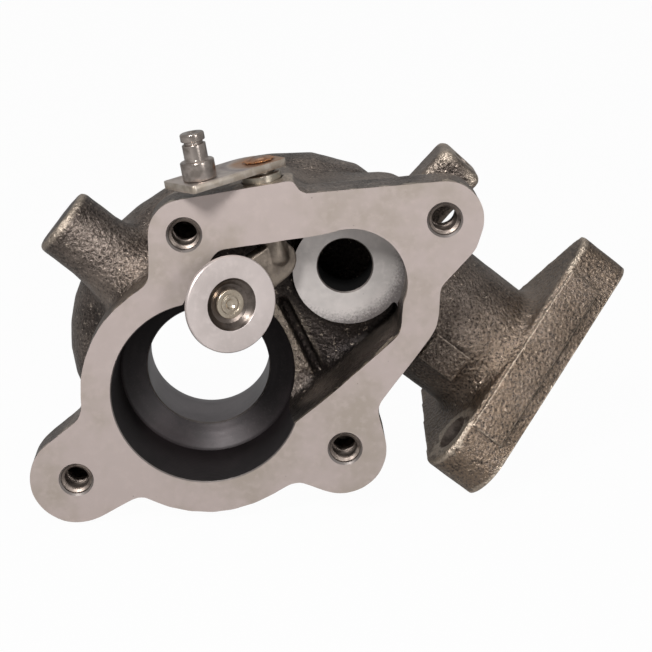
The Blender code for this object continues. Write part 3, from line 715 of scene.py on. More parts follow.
def joint_axis(index: int) -> Tuple[Vector, Vector]:
    """Return a point of a joint's axis and its direction: 0 is the crank's swing, 1 the valve's spin."""
    joint = frame["joints"][index]
    return Vector(joint["pos_m"]), Vector(joint["axis"])


def scaled(tone: Colour, share: float) -> Colour:
    """Return a colour made darker or lighter, but no brighter than white."""
    return tuple(min(1.0, value * share) for value in tone)


@dataclass(frozen=True)
class CastFinish:
    """Sand-cast iron: a grainy skin with soft patches of tone, bright specks painted as glints, painted shade in its
    hollows and pocket, and bright edges that are partly wear and partly painted highlight.
    """

    name: str
    dark: Colour = (0.050, 0.039, 0.034)
    light: Colour = (0.275, 0.226, 0.194)
    warm: Colour = (0.262, 0.192, 0.136)
    # The bright tone of painted glints and of proud edges, which are partly worn and partly painted highlight.
    glint_and_wear_tone: Colour = (0.62, 0.52, 0.42)
    # Painted shade in hollows and inner corners.
    crevice_shade: Colour = (0.012, 0.011, 0.011)
    # Painted shade in the pocket and on the chamber's rim.
    recess_shade: Colour = (0.014, 0.011, 0.011)
    pit: Colour = (0.020, 0.016, 0.014)
    grain_size: float = 0.00088
    depth: float = 0.00090
    roughness: float = 0.35
    metallic: float = 0.85

    def build(self) -> Material:
        """Make the finish.

        Returns:
            The material.
        """
        tree = Tree(self.name)
        grain = tree.grain(1 / self.grain_size, 3.0, 0.70)
        coarse = tree.grain(0.42 / self.grain_size, 2.0, 0.55)
        pits = tree.cells(0.62 / self.grain_size)
        patch = tree.grain(55.0, 3.0, 0.5)
        cloud = tree.grain(17.0, 2.0, 0.5)
        cavity = tree.attribute("cavity")
        inlet = tree.frame_axis(PLACE, INLET_OUT)
        base = tree.blend((patch * 0.6 + grain * 0.4).step(0.34, 0.66), self.dark, self.light)
        warmth = inlet.step(0.045, 0.085) * 0.75 + cloud.step(0.45, 0.75) * 0.35
        base = tree.blend(warmth * grain.step(0.30, 0.62), base, self.warm)
        # Painted shade: hollows and inner corners are darkened.
        base = tree.blend(cavity.step(0.10, 0.85) * 0.72, base, self.crevice_shade)
        # Proud edges are lightened, partly as wear and partly as painted highlight.
        worn_and_lit_edge = (-cavity).step(0.40, 0.95)
        base = tree.blend(worn_and_lit_edge * (0.35 + grain * 0.65), base, self.glint_and_wear_tone)
        # Painted shade: darker with depth in the pocket and on the chamber's rim.
        base = tree.blend(tree.attribute("recess_shade") * 0.74, base, self.recess_shade)
        # Painted glints: scattered bright specks in the colour, which also make the surface a little smoother.
        painted_glint = (grain * 0.55 + coarse * 0.45).step(0.585, 0.66)
        base = tree.blend(painted_glint * 0.60, base, self.glint_and_wear_tone)
        base = tree.blend((1 - grain.step(0.34, 0.45)) * 0.55, base, self.pit)
        relief = grain * 0.50 + coarse * 0.38 + pits * 0.30
        rough = self.roughness - painted_glint * 0.10 + patch.between(-0.06, 0.06)
        return tree.surface(base, rough, self.metallic, relief, self.depth)


@dataclass(frozen=True)
class CutFinish:
    """A machined metal surface: tool marks, faint stains and scattered pores."""

    name: str
    tone: Colour = (0.479, 0.402, 0.376)
    stain: Colour = (0.395, 0.335, 0.290)
    pore: Colour = (0.10, 0.085, 0.08)
    roughness: float = 0.46
    metallic: float = 0.40
    origin: Vector = Vector((0, 0, 0))
    axis: Vector = Vector((0, 1, 0))
    lathe_pitch: float = 0.0
    mark_depth: float = 0.000006
    pore_share: float = 0.5
    dark_rim_radius: float = 0.0
    dark_rim_lean: Vector = Vector((0.62, 0, -0.78))

    def build(self) -> Material:
        """Make the finish.

        Returns:
            The material.
        """
        tree = Tree(self.name)
        patch = tree.grain(42.0, 4.0, 0.62)
        mottle = tree.grain(420.0, 3.0, 0.6)
        fine = tree.grain(2600.0, 2.0, 0.5)
        cells = tree.cells(330.0)
        scatter = tree.grain(150.0, 2.0, 0.5)
        base = tree.blend(patch.step(0.38, 0.66), self.tone, self.stain)
        base = tree.blend(mottle.step(0.45, 0.75) * 0.45, base, scaled(self.tone, 1.10))
        pores = (1 - cells.step(0.035, 0.085)) * scatter.step(0.60 - 0.12 * self.pore_share, 0.72)
        base = tree.blend(pores * 0.8, base, self.pore)
        # Darker toward the seat's rim, most toward the lower right.
        if self.dark_rim_radius:
            out = tree.axis_radius(self.origin, self.axis) / self.dark_rim_radius
            lean = tree.frame_axis(self.origin, self.dark_rim_lean) / self.dark_rim_radius
            dark_rim = (out + lean * 0.30 + tree.grain(1300.0, 3.0, 0.7) * 0.60 - 0.30).step(0.94, 1.34)
            base = tree.blend(dark_rim * 0.85, base, self.pore)
        if self.lathe_pitch:
            radius = tree.axis_radius(self.origin, self.axis)
            wobble = tree.grain(90.0, 2.0, 0.5) * (self.lathe_pitch * 1.5)
            marks = ((radius + wobble) * (2 * pi / self.lathe_pitch)).wave()
        else:
            marks = tree.grain(5200.0, 1.0, 0.4)
        relief = marks * 0.7 + fine * 0.5 - pores * 2.0
        rough = self.roughness + mottle.between(-0.05, 0.05) + marks * 0.04
        return tree.surface(base, rough, self.metallic, relief, self.mark_depth)


def dark_bore(name: str, tone: Colour, roughness: float) -> Material:
    """Make the dark skin of a chamber, or the near-black of a gas passage, which is painted shade.

    Args:
        name: The material's name.
        tone: Its main colour.
        roughness: Its mean roughness.

    Returns:
        The material.
    """
    tree = Tree(name)
    patch = tree.grain(70.0, 4.0, 0.6)
    fine = tree.grain(1500.0, 3.0, 0.6)
    mark_pitch = 0.0011
    rings = (tree.frame_axis(PLACE, INWARD) * (2 * pi / mark_pitch) + tree.grain(120.0) * 2.0).wave()
    base = tree.blend(patch.step(0.35, 0.65), tone, scaled(tone, 0.55))
    base = tree.blend(fine.step(0.52, 0.70) * 0.25, base, scaled(tone, 2.2))
    rough = roughness + fine.between(-0.08, 0.08)
    return tree.surface(base, rough, 0.55, fine * 0.6 + rings * 0.5, 0.00003)


def zinc_plate(name: str, top: Vector) -> Material:
    """Make the lever's plated steel, tinted where its stamped edge shows and near the weld.

    Args:
        name: The material's name.
        top: The direction that the plate's flat faces.

    Returns:
        The material.
    """
    tree = Tree(name)
    geometry = tree.add("ShaderNodeNewGeometry", output="True Normal")
    facing_up = tree.add("ShaderNodeVectorMath", {"operation": "DOT_PRODUCT"}, {0: geometry, 1: tuple(top)}, "Value")
    edge = 1 - facing_up.absolute().step(0.45, 0.85)
    streak = tree.grain(260.0, 3.0, 0.6)
    fine = tree.grain(2400.0, 2.0, 0.5)
    base = tree.blend(streak.step(0.35, 0.7), (0.62, 0.545, 0.495), (0.48, 0.415, 0.375))
    gold = tree.blend(streak.step(0.40, 0.62), (0.60, 0.53, 0.46), (0.46, 0.39, 0.32))
    base = tree.blend(edge, base, gold)
    radius = tree.axis_radius(*joint_axis(0))
    tint_end = 0.0112
    halo = (1 - (radius + streak * 0.0016).step(0.0078, tint_end)) * (1 - edge)
    base = tree.blend(halo * 0.85, base, (0.46, 0.25, 0.13))
    blue = (1 - (radius - tint_end).absolute().step(0.0004, 0.0016)) * (1 - edge) * 0.4
    base = tree.blend(blue, base, (0.22, 0.17, 0.20))
    return tree.surface(base, 0.30 + streak * 0.12, 0.85, fine, 0.00001)


def weld_bead(name: str) -> Material:
    """Make the weld on the shaft's end: rippled metal with copper heat tints.

    Args:
        name: The material's name.

    Returns:
        The material.
    """
    tree = Tree(name)
    radius = tree.axis_radius(*joint_axis(0))
    cloud = tree.grain(420.0, 4.0, 0.6)
    ripple_length = 0.0009
    ripple = ((radius + cloud * 0.0008) * (2 * pi / ripple_length)).wave()
    tint = (radius + cloud * 0.0022).step(0.0016, 0.0058)
    base = tree.blend(tint, (0.36, 0.30, 0.27), (0.56, 0.25, 0.10))
    base = tree.blend(cloud.step(0.52, 0.70), base, (0.20, 0.075, 0.035))
    return tree.surface(base, 0.26 + cloud * 0.2, 0.9, ripple * 0.6 + cloud, 0.00012)


def satin_steel(name: str, tone: Colour, edge_tone: Colour, roughness: float, grain: float) -> Material:
    """Make turned or forged steel with soft stains.

    Args:
        name: The material's name.
        tone: Its main colour.
        edge_tone: The colour of its stains.
        roughness: Its mean roughness.
        grain: Its relief's depth.

    Returns:
        The material.
    """
    tree = Tree(name)
    stain = tree.grain(230.0, 4.0, 0.6)
    fine = tree.grain(1900.0, 3.0, 0.6)
    base = tree.blend(stain.step(0.40, 0.68), tone, edge_tone)
    base = tree.blend(fine.step(0.60, 0.72) * 0.5, base, scaled(tone, 0.4))
    rough = roughness + stain.between(-0.07, 0.07)
    return tree.surface(base, rough, 0.9, fine * 0.8 + stain * 0.4, grain)


# The casting -------------------------------------------------


@dataclass(frozen=True)
class TappedHole:
    """A threaded hole: where its mouth lies, where it leads and how deep it is drilled."""

    mouth: Vector
    inward: Vector
    depth: float


@dataclass(frozen=True)
class TurnedCut:
    """The shape that a turning, boring or drilling cut takes away."""

    rings: Tuple[Ring, ...]
    place: Matrix
    steps: int
    has_stock: bool = True

    def stock(self, points: np.ndarray, amount: float) -> np.ndarray:
        """Return how the points on this cut's surface move to leave stock for it.

        Args:
            points: The casting's vertices.
            amount: The stock's thickness.

        Returns:
            A move for each point, zero where it isn't on the surface.
        """
        moves = np.zeros_like(points)
        if not self.has_stock:
            return moves
        inverse = np.array(self.place.inverted())
        turned = points @ inverse[:3, :3].T + inverse[:3, 3]
        radius, height = np.hypot(turned[:, 0], turned[:, 1]), turned[:, 2]
        outward = turned[:, :2] / np.maximum(radius, 1e-9)[:, None]
        slack, reach = 0.0010, 0.00075
        for low, high in zip(self.rings, self.rings[1:]):
            run = Vector((high.radius - low.radius, high.height - low.height))
            if run.length < ON_AXIS or min(low.radius, high.radius) < ON_AXIS:
                continue
            run.normalize()
            across = (radius - low.radius) * run.y - (height - low.height) * run.x
            along = (radius - low.radius) * run.x + (height - low.height) * run.y
            length = hypot(high.radius - low.radius, high.height - low.height)
            near = (np.abs(across) < reach) & (along > -slack) & (along < length + slack)
            near &= ~np.any(moves, axis=1)
            shift = np.column_stack((outward * run.y, np.full(len(points), -run.x))) * -amount
            moves[near] = (shift @ np.array(self.place)[:3, :3].T)[near]
        return moves

    def build(self) -> Object:
        """Make the cut's solid."""
        return lathe("turned_cut", self.rings, self.place, self.steps)


@dataclass
class Threads:
    """The threads in the tapped holes, one helical ridge on each."""

    pitch: float = 0.0015
    turns: float = 7.0
    major: float = 0.00495
    crest: float = 0.00440
    start: float = 0.0010
    steps: int = 40
    ridge: float = 0.46  # its radius as a share of the pitch

    def build(self, holes: Sequence[TappedHole], material: Material) -> Object:
        """Make the ridges with Geometry Nodes: one spiral, set on a point at each hole.

        Args:
            holes: The holes.
            material: Their finish.

        Returns:
            The threads as one mesh.
        """
        mesh = bpy.data.meshes.new("tapped_threads")
        starts = [hole.mouth + hole.inward * self.start for hole in holes]
        mesh.from_pydata([tuple(point) for point in starts], [], [])
        turns = mesh.attributes.new("heading", "FLOAT_VECTOR", "POINT")
        turns.data.foreach_set("vector", [value for hole in holes for value in hole.inward])
        obj = link("tapped_threads", mesh)
        group = self._group(material)
        modifier = obj.modifiers.new("threads", "NODES")
        modifier.node_group = group
        wanted = {"Pitch": self.pitch, "Turns": self.turns, "Radius": (self.major + self.crest) / 2}
        for item in group.interface.items_tree:
            if getattr(item, "in_out", "") == "INPUT" and item.name in wanted:
                modifier[item.identifier] = wanted[item.name]
        return settle(obj)

    def _group(self, material: Material) -> NodeTree:
        """Make the node group that sets a spiral ridge on each point.

        Args:
            material: The ridges' finish.

        Returns:
            The group.
        """
        group = bpy.data.node_groups.new("thread_ridges", "GeometryNodeTree")
        sockets = group.interface
        sockets.new_socket("Geometry", in_out="INPUT", socket_type="NodeSocketGeometry")
        for name, value in (("Pitch", self.pitch), ("Turns", self.turns), ("Radius", self.major)):
            sockets.new_socket(name, in_out="INPUT", socket_type="NodeSocketFloat").default_value = value
        sockets.new_socket("Geometry", in_out="OUTPUT", socket_type="NodeSocketGeometry")
        graph = Graph(group)
        points = graph.add("NodeGroupInput", output="Geometry")
        pitch, turns, radius = (points.other(name) for name in ("Pitch", "Turns", "Radius"))
        spiral = graph.add("GeometryNodeCurveSpiral", {}, {
            "Resolution": self.steps, "Rotations": turns, "Height": pitch * turns,
            "Start Radius": radius, "End Radius": radius,
        })
        ridge = graph.add("GeometryNodeCurvePrimitiveCircle", {}, {"Resolution": 4, "Radius": self.pitch * self.ridge})
        sweep = graph.add("GeometryNodeCurveToMesh", {}, {"Curve": spiral, "Profile Curve": ridge, "Fill Caps": True})
        heading = graph.add(
            "GeometryNodeInputNamedAttribute", {"data_type": "FLOAT_VECTOR"}, {"Name": "heading"}, "Attribute",
        )
        turn = graph.add("FunctionNodeAlignRotationToVector", {"axis": "Z"}, {"Vector": heading})
        scatter = graph.add(
            "GeometryNodeInstanceOnPoints", {}, {"Points": points, "Instance": sweep, "Rotation": turn},
        )
        real = graph.add("GeometryNodeRealizeInstances", {}, {"Geometry": scatter})
        graph.close("NodeGroupOutput", "Geometry", graph.add(
            "GeometryNodeSetMaterial", {}, {"Geometry": real, "Material": material},
        ))
        return group


@dataclass(eq=False)
class Casting:
    """The iron casting: rounded, grainy cast skin with crisp machined faces, bores and holes."""

    voxel: float = 0.00085
    most_triangles: int = 185000
    push: float = 0.0020  # stock on the flat joint faces
    stock: float = 0.0012  # stock on the turned surfaces
    seat_stock: float = 0.0010
    over: float = 0.0040  # how far a cutter stands out of the metal
    depth: float = 0.0770
    inlet_distance: float = 0.0931
    inlet_thickness: float = 0.0178
    inlet_lift: float = 0.0570
    hole_places: Tuple[Triple, ...] = (
        (-0.0055, 0.0516, 0.030),
        (0.0744, 0.0557, 0.018),
        (-0.0418, -0.0286, 0.020),
        (0.0440, -0.0190, 0.020),
    )
    stud_place: Pair = (0.0362, 0.0472)
    stud_depth: float = 0.0115
    bolt_places: Tuple[Pair, ...] = ((-0.0232, 0.0173), (-0.0208, 0.0745))
    bolt_radius: float = 0.0060
    tap_major: float = 0.00495
    tap_drill: float = 0.00425
    tap_length: float = 0.0120
    chamfer_radius: float = 0.0056
    chamber_radius: float = 0.0297
    chamber_floor_radius: float = 0.0285
    chamber_depth: float = 0.0250
    bore_radius: float = 0.0201
    bore_start: float = 0.0285
    bore_end: float = 0.0470
    wheel_radius: float = 0.0265
    nozzle_start: float = 0.0590
    nozzle_width: float = 0.0070
    rear_bore: float = 0.0310
    rear_step: float = 0.0355
    rear_step_depth: float = 0.0045
    seat_centre: Pair = (0.0457, 0.0356)
    seat_depth: float = 0.0164
    seat_radius: float = 0.0176
    seat_shift: float = 0.0008
    spotface_margin: float = 0.0015
    port_place: Pair = (0.0445, 0.0370)
    port_radius: float = 0.0087
    neck_setback: float = 0.0470
    pad_middle: Triple = (0.07761, 0.02428, 0.00343)
    pad_size: Triple = (0.0145, 0.0103, 0.0060)
    panel_place: Triple = (0.10791, 0.02411, 0.00282)
    panel_along: Vector = Vector((0.56069, 0.43447, 0.70488))
    panel_size: Triple = (0.0630, 0.0124, 0.0040)
    panel_height: float = 0.0012
    panel_edge: float = 0.0008
    panel_reach: float = 0.034
    pad_reach: float = 0.010
    pocket_freedom: float = 0.12
    pocket: Tuple[Pair, ...] = (
        (-0.0190, 0.0222), (-0.0064, 0.0300), (-0.0010, 0.0378), (0.0050, 0.0467), (0.0329, 0.0507),
        (0.0458, 0.0532), (0.0581, 0.0480), (0.0633, 0.0357), (0.0611, 0.0199), (0.0272, -0.0118),
        (0.0120, -0.0180), (-0.0120, 0.0060),
    )
    lug_end: Triple = (0.0826, 0.0300, 0.0684)
    lug_slope: float = radians(48)
    lug_hole_radius: float = 0.0029
    lug_hole_depth: float = 0.012
    bush_radius: float = 0.0062

    def at(self, x: float, y: float, z: float) -> Vector:
        """Return a point of the modelling frame in the row frame."""
        return PLACE + Vector((x, y, z))

    def holes(self) -> List[TappedHole]:
        """Return the tapped holes of the outlet flange, then the inlet flange's."""
        found = [TappedHole(self.at(x, 0, z), INWARD, depth) for x, z, depth in self.hole_places]
        return [*found, TappedHole(self.inlet_point(*self.stud_place), -INLET_OUT, self.stud_depth)]

    def inlet_point(self, up: float, depth: float) -> Vector:
        """Return the point of the inlet flange's face that lies so far up it and behind the outlet face."""
        middle = INLET_OUT * self.inlet_distance + FACE_LINE * self.inlet_lift
        return PLACE + middle + FACE_LINE * up + INWARD * depth

    def build(self, finishes: Sequence[Material]) -> Object:
        """Make the casting.

        Args:
            finishes: A material for each region.

        Returns:
            The piece that stands for the CAD casting.
        """
        body = cad_copy("turbine_housing", "housing_casting")
        turned_cuts = self._turned_cuts()
        self._clear_faces(body, turned_cuts)
        modify(body, "REMESH", mode="VOXEL", voxel_size=self.voxel)
        modify(body, "TRIANGULATE")
        settle(body)
        LOG.info("casting skin: %d faces", len(body.data.polygons))
        weather(body, soften=3, fill_steps=90, swell=0.00012, wave=0.008, hold=self._freedom)
        combine(body, "UNION", self._panels())
        combine(body, "DIFFERENCE", [*(item.build() for item in turned_cuts), *self._slabs()])
        triangles = sum(len(face.vertices) - 2 for face in body.data.polygons)
        modify(body, "DECIMATE", ratio=min(1.0, self.most_triangles / triangles))
        settle(body)
        panel, pad = PLACE + Vector(self.panel_place), PLACE + Vector(self.pad_middle)
        mark_hollows(body, [(self._panel_front(), panel, self.panel_reach), (-INWARD, pad, self.pad_reach)])
        self._mark_recess_shade(body)
        finish_mesh(body, finishes)
        return body

    def _mark_recess_shade(self, body: Object) -> None:
        """Store how much painted shade darkens each point, growing with depth in the pocket and set on the chamber's
        rim, as a vertex attribute from 0 to 1.

        Args:
            body: The casting.
        """
        local = vectors(body.data) - np.array(PLACE)
        x, depth, z = local.T
        inside = np.zeros(len(local), bool)
        for (x0, z0), (x1, z1) in zip(self.pocket, self.pocket[1:] + self.pocket[:1]):
            crosses = (z0 > z) != (z1 > z)
            inside ^= crosses & (x < x0 + (z - z0) * (x1 - x0) / ((z1 - z0) or 1e-9))
        unshaded, fade, rim_end, rim_height, rim_shade = 0.0008, 0.0080, 0.0325, 0.002, 0.45
        # Painted shade: darker with depth inside the pocket, and a fixed share on the chamber's rim strip.
        recess_shade = np.clip((depth - unshaded) / fade, 0, 1) * inside
        out = np.hypot(x, z)
        on_rim = (out > self.chamber_floor_radius) & (out < rim_end)
        recess_shade[on_rim & (np.abs(depth - self.chamber_depth) < rim_height)] = rim_shade
        store(body.data, "recess_shade", Neighbours(body.data).mean(recess_shade))

    def _freedom(self, points: np.ndarray) -> np.ndarray:
        """Return how far rounding may go at each point: little in the pocket, all of it elsewhere.

        Args:
            points: The casting's vertices.

        Returns:
            A share for each point.
        """
        x, depth, z = (points - np.array(PLACE)).T
        reach, front, back, corner = 0.030, -0.003, 0.026, 0.020
        pocket = (depth > front) & (depth < back) & (x + z > corner)
        pocket &= np.hypot(x - self.seat_centre[0], z - self.seat_centre[1]) < reach
        return np.where(pocket, self.pocket_freedom, 1.0)

    def _clear_faces(self, body: Object, turned_cuts: Sequence[TurnedCut]) -> None:
        """Add stock to every machined surface, so that it stays clear of the rounding until it is cut.

        Args:
            body: The casting.
            turned_cuts: Its turned and drilled cuts.
        """
        points = vectors(body.data)
        moved = points.copy()
        local = points - np.array(PLACE)
        for item in turned_cuts:
            moved += item.stock(points, self.stock)
        for normal, distance in ((-INWARD, 0.0), (INWARD, self.depth), (INLET_OUT, self.inlet_distance)):
            on_plane = np.abs(local @ np.array(normal) - distance) < ON_PLANE
            moved[on_plane] += np.array(normal) * self.push
        from_seat = np.hypot(local[:, 0] - self.seat_centre[0], local[:, 2] - self.seat_centre[1])
        on_seat = np.abs(local[:, 1] - self.seat_depth) < ON_PLANE
        on_seat &= from_seat < self.seat_radius + self.spotface_margin
        moved[on_seat] -= np.array(INWARD) * self.seat_stock
        set_points(body.data, moved)

    def _panel_front(self) -> Vector:
        """Return the direction that the side panel faces, which is toward the viewer."""
        front = self.panel_along.cross(INLET_OUT).normalized()
        return -front if front.y > 0 else front

    def _panels(self) -> List[Object]:
        """Make the raised panel on the inlet flange's side and the pad on the neck, both crisp.

        Returns:
            The two blocks.
        """
        front = self._panel_front()
        across = front.cross(self.panel_along).normalized()
        made = []
        for name, along_it, up, side, middle, size in (
            ("side_panel", self.panel_along, front, across, Vector(self.panel_place), self.panel_size),
            ("neck_pad", INLET_OUT, -INWARD, FACE_LINE, Vector(self.pad_middle), self.pad_size),
        ):
            turn = Matrix((along_it, side, up)).transposed().to_4x4()
            centre = PLACE + middle + up * (self.panel_height - size[2] / 2)
            block = box(name, size, Matrix.Translation(centre) @ turn)
            modify(block, "BEVEL", width=self.panel_edge, segments=4)
            made.append(settle(block))
        return made

    def _slabs(self) -> List[Object]:
        """Make the flat cutters of the three joint faces.

        Returns:
            Those of the outlet, the rear and the inlet.
        """
        out = 0.010
        middle = self.at(0.02, -out / 2, 0.01)
        rear = self.at(0, self.depth + out / 2, 0)
        turn = Matrix((INLET_OUT, INWARD, FACE_LINE)).transposed().to_4x4()
        inlet_middle = self.inlet_point(0.01, 0.047) + INLET_OUT * out / 2
        return [
            box("outlet_cut", (0.30, out, 0.30), Matrix.Translation(middle), Region.FACE),
            box("rear_cut", (0.12, out, 0.12), Matrix.Translation(rear), Region.FACE),
            box("inlet_cut", (out, 0.16, 0.16), Matrix.Translation(inlet_middle) @ turn, Region.FACE),
        ]

    def _turned_cuts(self) -> List[TurnedCut]:
        """Return the shapes that the turned and drilled cuts take away.

        Returns:
            The bore, the rear, the port, the seat, the tapped holes and the plain ones.
        """
        depth, edge, radius = self.seat_depth, 0.0004, self.port_radius
        above = depth - 0.002
        port = rings_of(
            (0, above, Region.PORT),
            (radius + edge, above, Region.CHAMFER),
            (radius + edge, depth + 0.0001, Region.CHAMFER),
            (radius, depth + 0.0005, Region.CHAMFER),
            (radius, self.neck_setback, Region.PORT),
            (0, self.neck_setback, Region.PORT),
        )
        swing_room, spotface = self.seat_radius + 0.0006, self.seat_radius + self.spotface_margin
        top, shoulder = depth - 0.0056, depth - 0.0012
        seat = rings_of(
            (0, top, Region.CAST),
            (swing_room, top, Region.CAST),
            (swing_room, shoulder, Region.CAST),
            (spotface, shoulder, Region.SEAT),
            (spotface, depth, Region.SEAT),
            (0, depth, Region.SEAT),
        )
        (x, z), (seat_x, seat_z) = self.port_place, self.seat_centre
        cuts = [
            TurnedCut(self._bore(), facing(PLACE, INWARD), 192),
            TurnedCut(self._rear(), facing(PLACE, INWARD), 160),
            TurnedCut(port, facing(self.at(x, 0, z), INWARD), 96),
            TurnedCut(seat, facing(self.at(seat_x + self.seat_shift, 0, seat_z), INWARD), 144, False),
        ]
        cuts.extend(TurnedCut(self._tap(hole), facing(hole.mouth, hole.inward), 72) for hole in self.holes())
        over = 0.005
        for place in self.bolt_places:
            mouth = self.inlet_point(*place) + INLET_OUT * over
            cuts.append(self._drill(mouth, -INLET_OUT, self.bolt_radius, self.inlet_thickness + 2 * over))
        over = 0.002
        slope = Vector((cos(self.lug_slope), 0, sin(self.lug_slope)))
        mouth = self.at(*self.lug_end) + slope * over
        cuts.append(self._drill(mouth, -slope, self.lug_hole_radius, self.lug_hole_depth + over))
        origin, axis = joint_axis(0)
        clearance, start, length = 0.0003, 0.0010, 0.030
        cuts.append(self._drill(origin + axis * start, axis, self.bush_radius + clearance, length))
        return cuts

    def _drill(self, start: Vector, direction: Vector, radius: float, length: float) -> TurnedCut:
        """Return a plain drill's shape from its start, direction, radius and length."""
        rings = ((0, 0), (radius, 0), (radius, length), (0, length))
        return TurnedCut(rings_of(*((*ring, Region.TAPPED) for ring in rings)), facing(start, direction), 64)

    def _tap(self, hole: TappedHole) -> Tuple[Ring, ...]:
        """Return a tapped hole's shape: its chamfer, its threaded length and the drill's tip.

        Args:
            hole: The hole.

        Returns:
            The profile.
        """
        length = min(self.tap_length, hole.depth - 0.001)
        return rings_of(
            (0, -self.over, Region.CHAMFER),
            (self.chamfer_radius + self.over, -self.over, Region.CHAMFER),
            (self.tap_major, self.chamfer_radius - self.tap_major, Region.CHAMFER),
            (self.tap_major, length, Region.TAPPED),
            (self.tap_drill, length + 0.0006, Region.TAPPED),
            (self.tap_drill, hole.depth, Region.TAPPED),
            (0, hole.depth + self.tap_drill * 0.5, Region.TAPPED),
        )

    def _bore(self) -> Tuple[Ring, ...]:
        """Return the chamber's and the turbine bore's profile.

        Returns:
            The profile, which swells to the wheel's radius on a quarter of an ellipse.
        """
        floor, edge, chamfer, steps = self.chamber_floor_radius, 0.0008, 0.0004, 12
        end = self.nozzle_start + 0.003
        swell, rise = self.wheel_radius - self.bore_radius, self.nozzle_start - self.bore_end
        curve = []
        for step in range(1, steps + 1):
            angle = pi / 2 * step / steps
            radius, height = self.bore_radius + swell * (1 - cos(angle)), self.bore_end + rise * sin(angle)
            curve.append((radius, height, Region.BORE))
        return rings_of(
            (0, -self.over, Region.CHAMBER),
            (self.chamber_radius + self.over - chamfer / 2, -self.over, Region.CHAMFER),
            (self.chamber_radius, chamfer, Region.CHAMFER),
            (floor, self.chamber_depth - edge, Region.CHAMBER),
            (floor - edge, self.chamber_depth, Region.CHAMBER),
            (self.bore_radius + chamfer, self.bore_start - chamfer, Region.CHAMBER),
            (self.bore_radius, self.bore_start + chamfer / 2, Region.CHAMFER),
            (self.bore_radius, self.bore_end, Region.BORE),
            *curve,
            (self.wheel_radius, end, Region.BORE),
            (0, end, Region.BORE),
        )

    def _rear(self) -> Tuple[Ring, ...]:
        """Return the rear bore's profile, with its step.

        Returns:
            The profile.
        """
        start = self.nozzle_start + self.nozzle_width - 0.003
        step, end = self.depth - self.rear_step_depth, self.depth + self.over
        return rings_of(
            (0, start, Region.BORE),
            (self.rear_bore, start, Region.BORE),
            (self.rear_bore, step, Region.BORE),
            (self.rear_step, step, Region.FACE),
            (self.rear_step, end, Region.BORE),
            (0, end, Region.BORE),
        )


# The wastegate -----------------------------------------------


@dataclass
class Valve:
    """The wastegate valve: a turned disc with a dished face, its rivet and its washer."""

    face: float = 0.0066
    radius: float = 0.0152
    rim: float = 0.0017
    height: float = 0.0040
    back_radius: float = 0.0068
    dish_radius: float = 0.0083
    dish_depth: float = 0.0022
    bore: float = 0.0031
    head_radius: float = 0.0046
    head_height: float = 0.0011
    stem_radius: float = 0.0028
    arm_half: float = 0.0025  # half the crank arm's thickness
    washer_radius: float = 0.0052
    washer_thickness: float = 0.0016
    tail_radius: float = 0.0040
    tail_height: float = 0.0016
    gap: float = 0.0003

    def build(
        self, disc_finish: Material, dish_finish: Material, rivet_finish: Material, washer_finish: Material,
    ) -> List[Object]:
        """Make the valve's pieces.

        Args:
            disc_finish: The disc's ground face.
            dish_finish: The disc's dish and back.
            rivet_finish: The rivet.
            washer_finish: The washer.

        Returns:
            The disc, the rivet and the washer.
        """
        place = facing(*joint_axis(1))
        face, back = self.face, self.face - self.height
        floor = face - self.dish_depth
        disc = turned("valve_face", [
            (self.bore, back, 0, 1),
            (self.back_radius, back, 0.0005, 1),
            (self.back_radius + 0.0018, back + 0.0009, 0.0012, 1),
            (self.radius - 0.0022, face - self.rim - 0.0004, 0.0008, 1),
            (self.radius, face - self.rim, 0.00025, 1),
            (self.radius, face - 0.00035, 0.0001, 0),
            (self.radius - 0.00035, face, 0.0001, 0),
            (self.dish_radius, face, 0.00022, 0),
            (self.dish_radius - 0.0007, face - 0.0008, 0.0004, 1),
            (self.head_radius + 0.0016, floor + 0.0003, 0.0006, 1),
            (self.head_radius + 0.0003, floor, 0.0003, 1),
            (self.bore, floor, 0, 1),
        ], place, 128, (disc_finish, dish_finish))
        top = -self.arm_half - self.gap
        low = top - self.washer_thickness
        washer = turned("stem_washer", [
            (self.bore, low), (self.washer_radius, low, 0.0003), (self.washer_radius, top, 0.0003),
            (self.bore, top),
        ], place, 64, (washer_finish,))
        head = floor + self.gap
        tip = head + self.head_height
        tail = low - self.gap
        rivet = turned("valve_stem", [
            (0, tail - self.tail_height),
            (self.tail_radius * 0.7, tail - self.tail_height * 0.92, 0.0010),
            (self.tail_radius, tail - self.tail_height * 0.2, 0.0003),
            (self.tail_radius, tail, 0.0001),
            (self.stem_radius, tail),
            (self.stem_radius, head),
            (self.head_radius, head, 0.0001),
            (self.head_radius, tip, 0.00028),
            (self.head_radius * 0.72, tip - 0.00004, 0.00012),
            (self.head_radius * 0.64, tip - 0.00030, 0.00010),
            (self.head_radius * 0.52, tip - 0.00005, 0.00012),
            (self.head_radius * 0.36, tip - 0.00008, 0.00015),
            (self.head_radius * 0.24, tip - 0.00055, 0.00020),
            (0, tip - 0.0007),
        ], place, 96, (rivet_finish,))
        return [disc, rivet, washer]


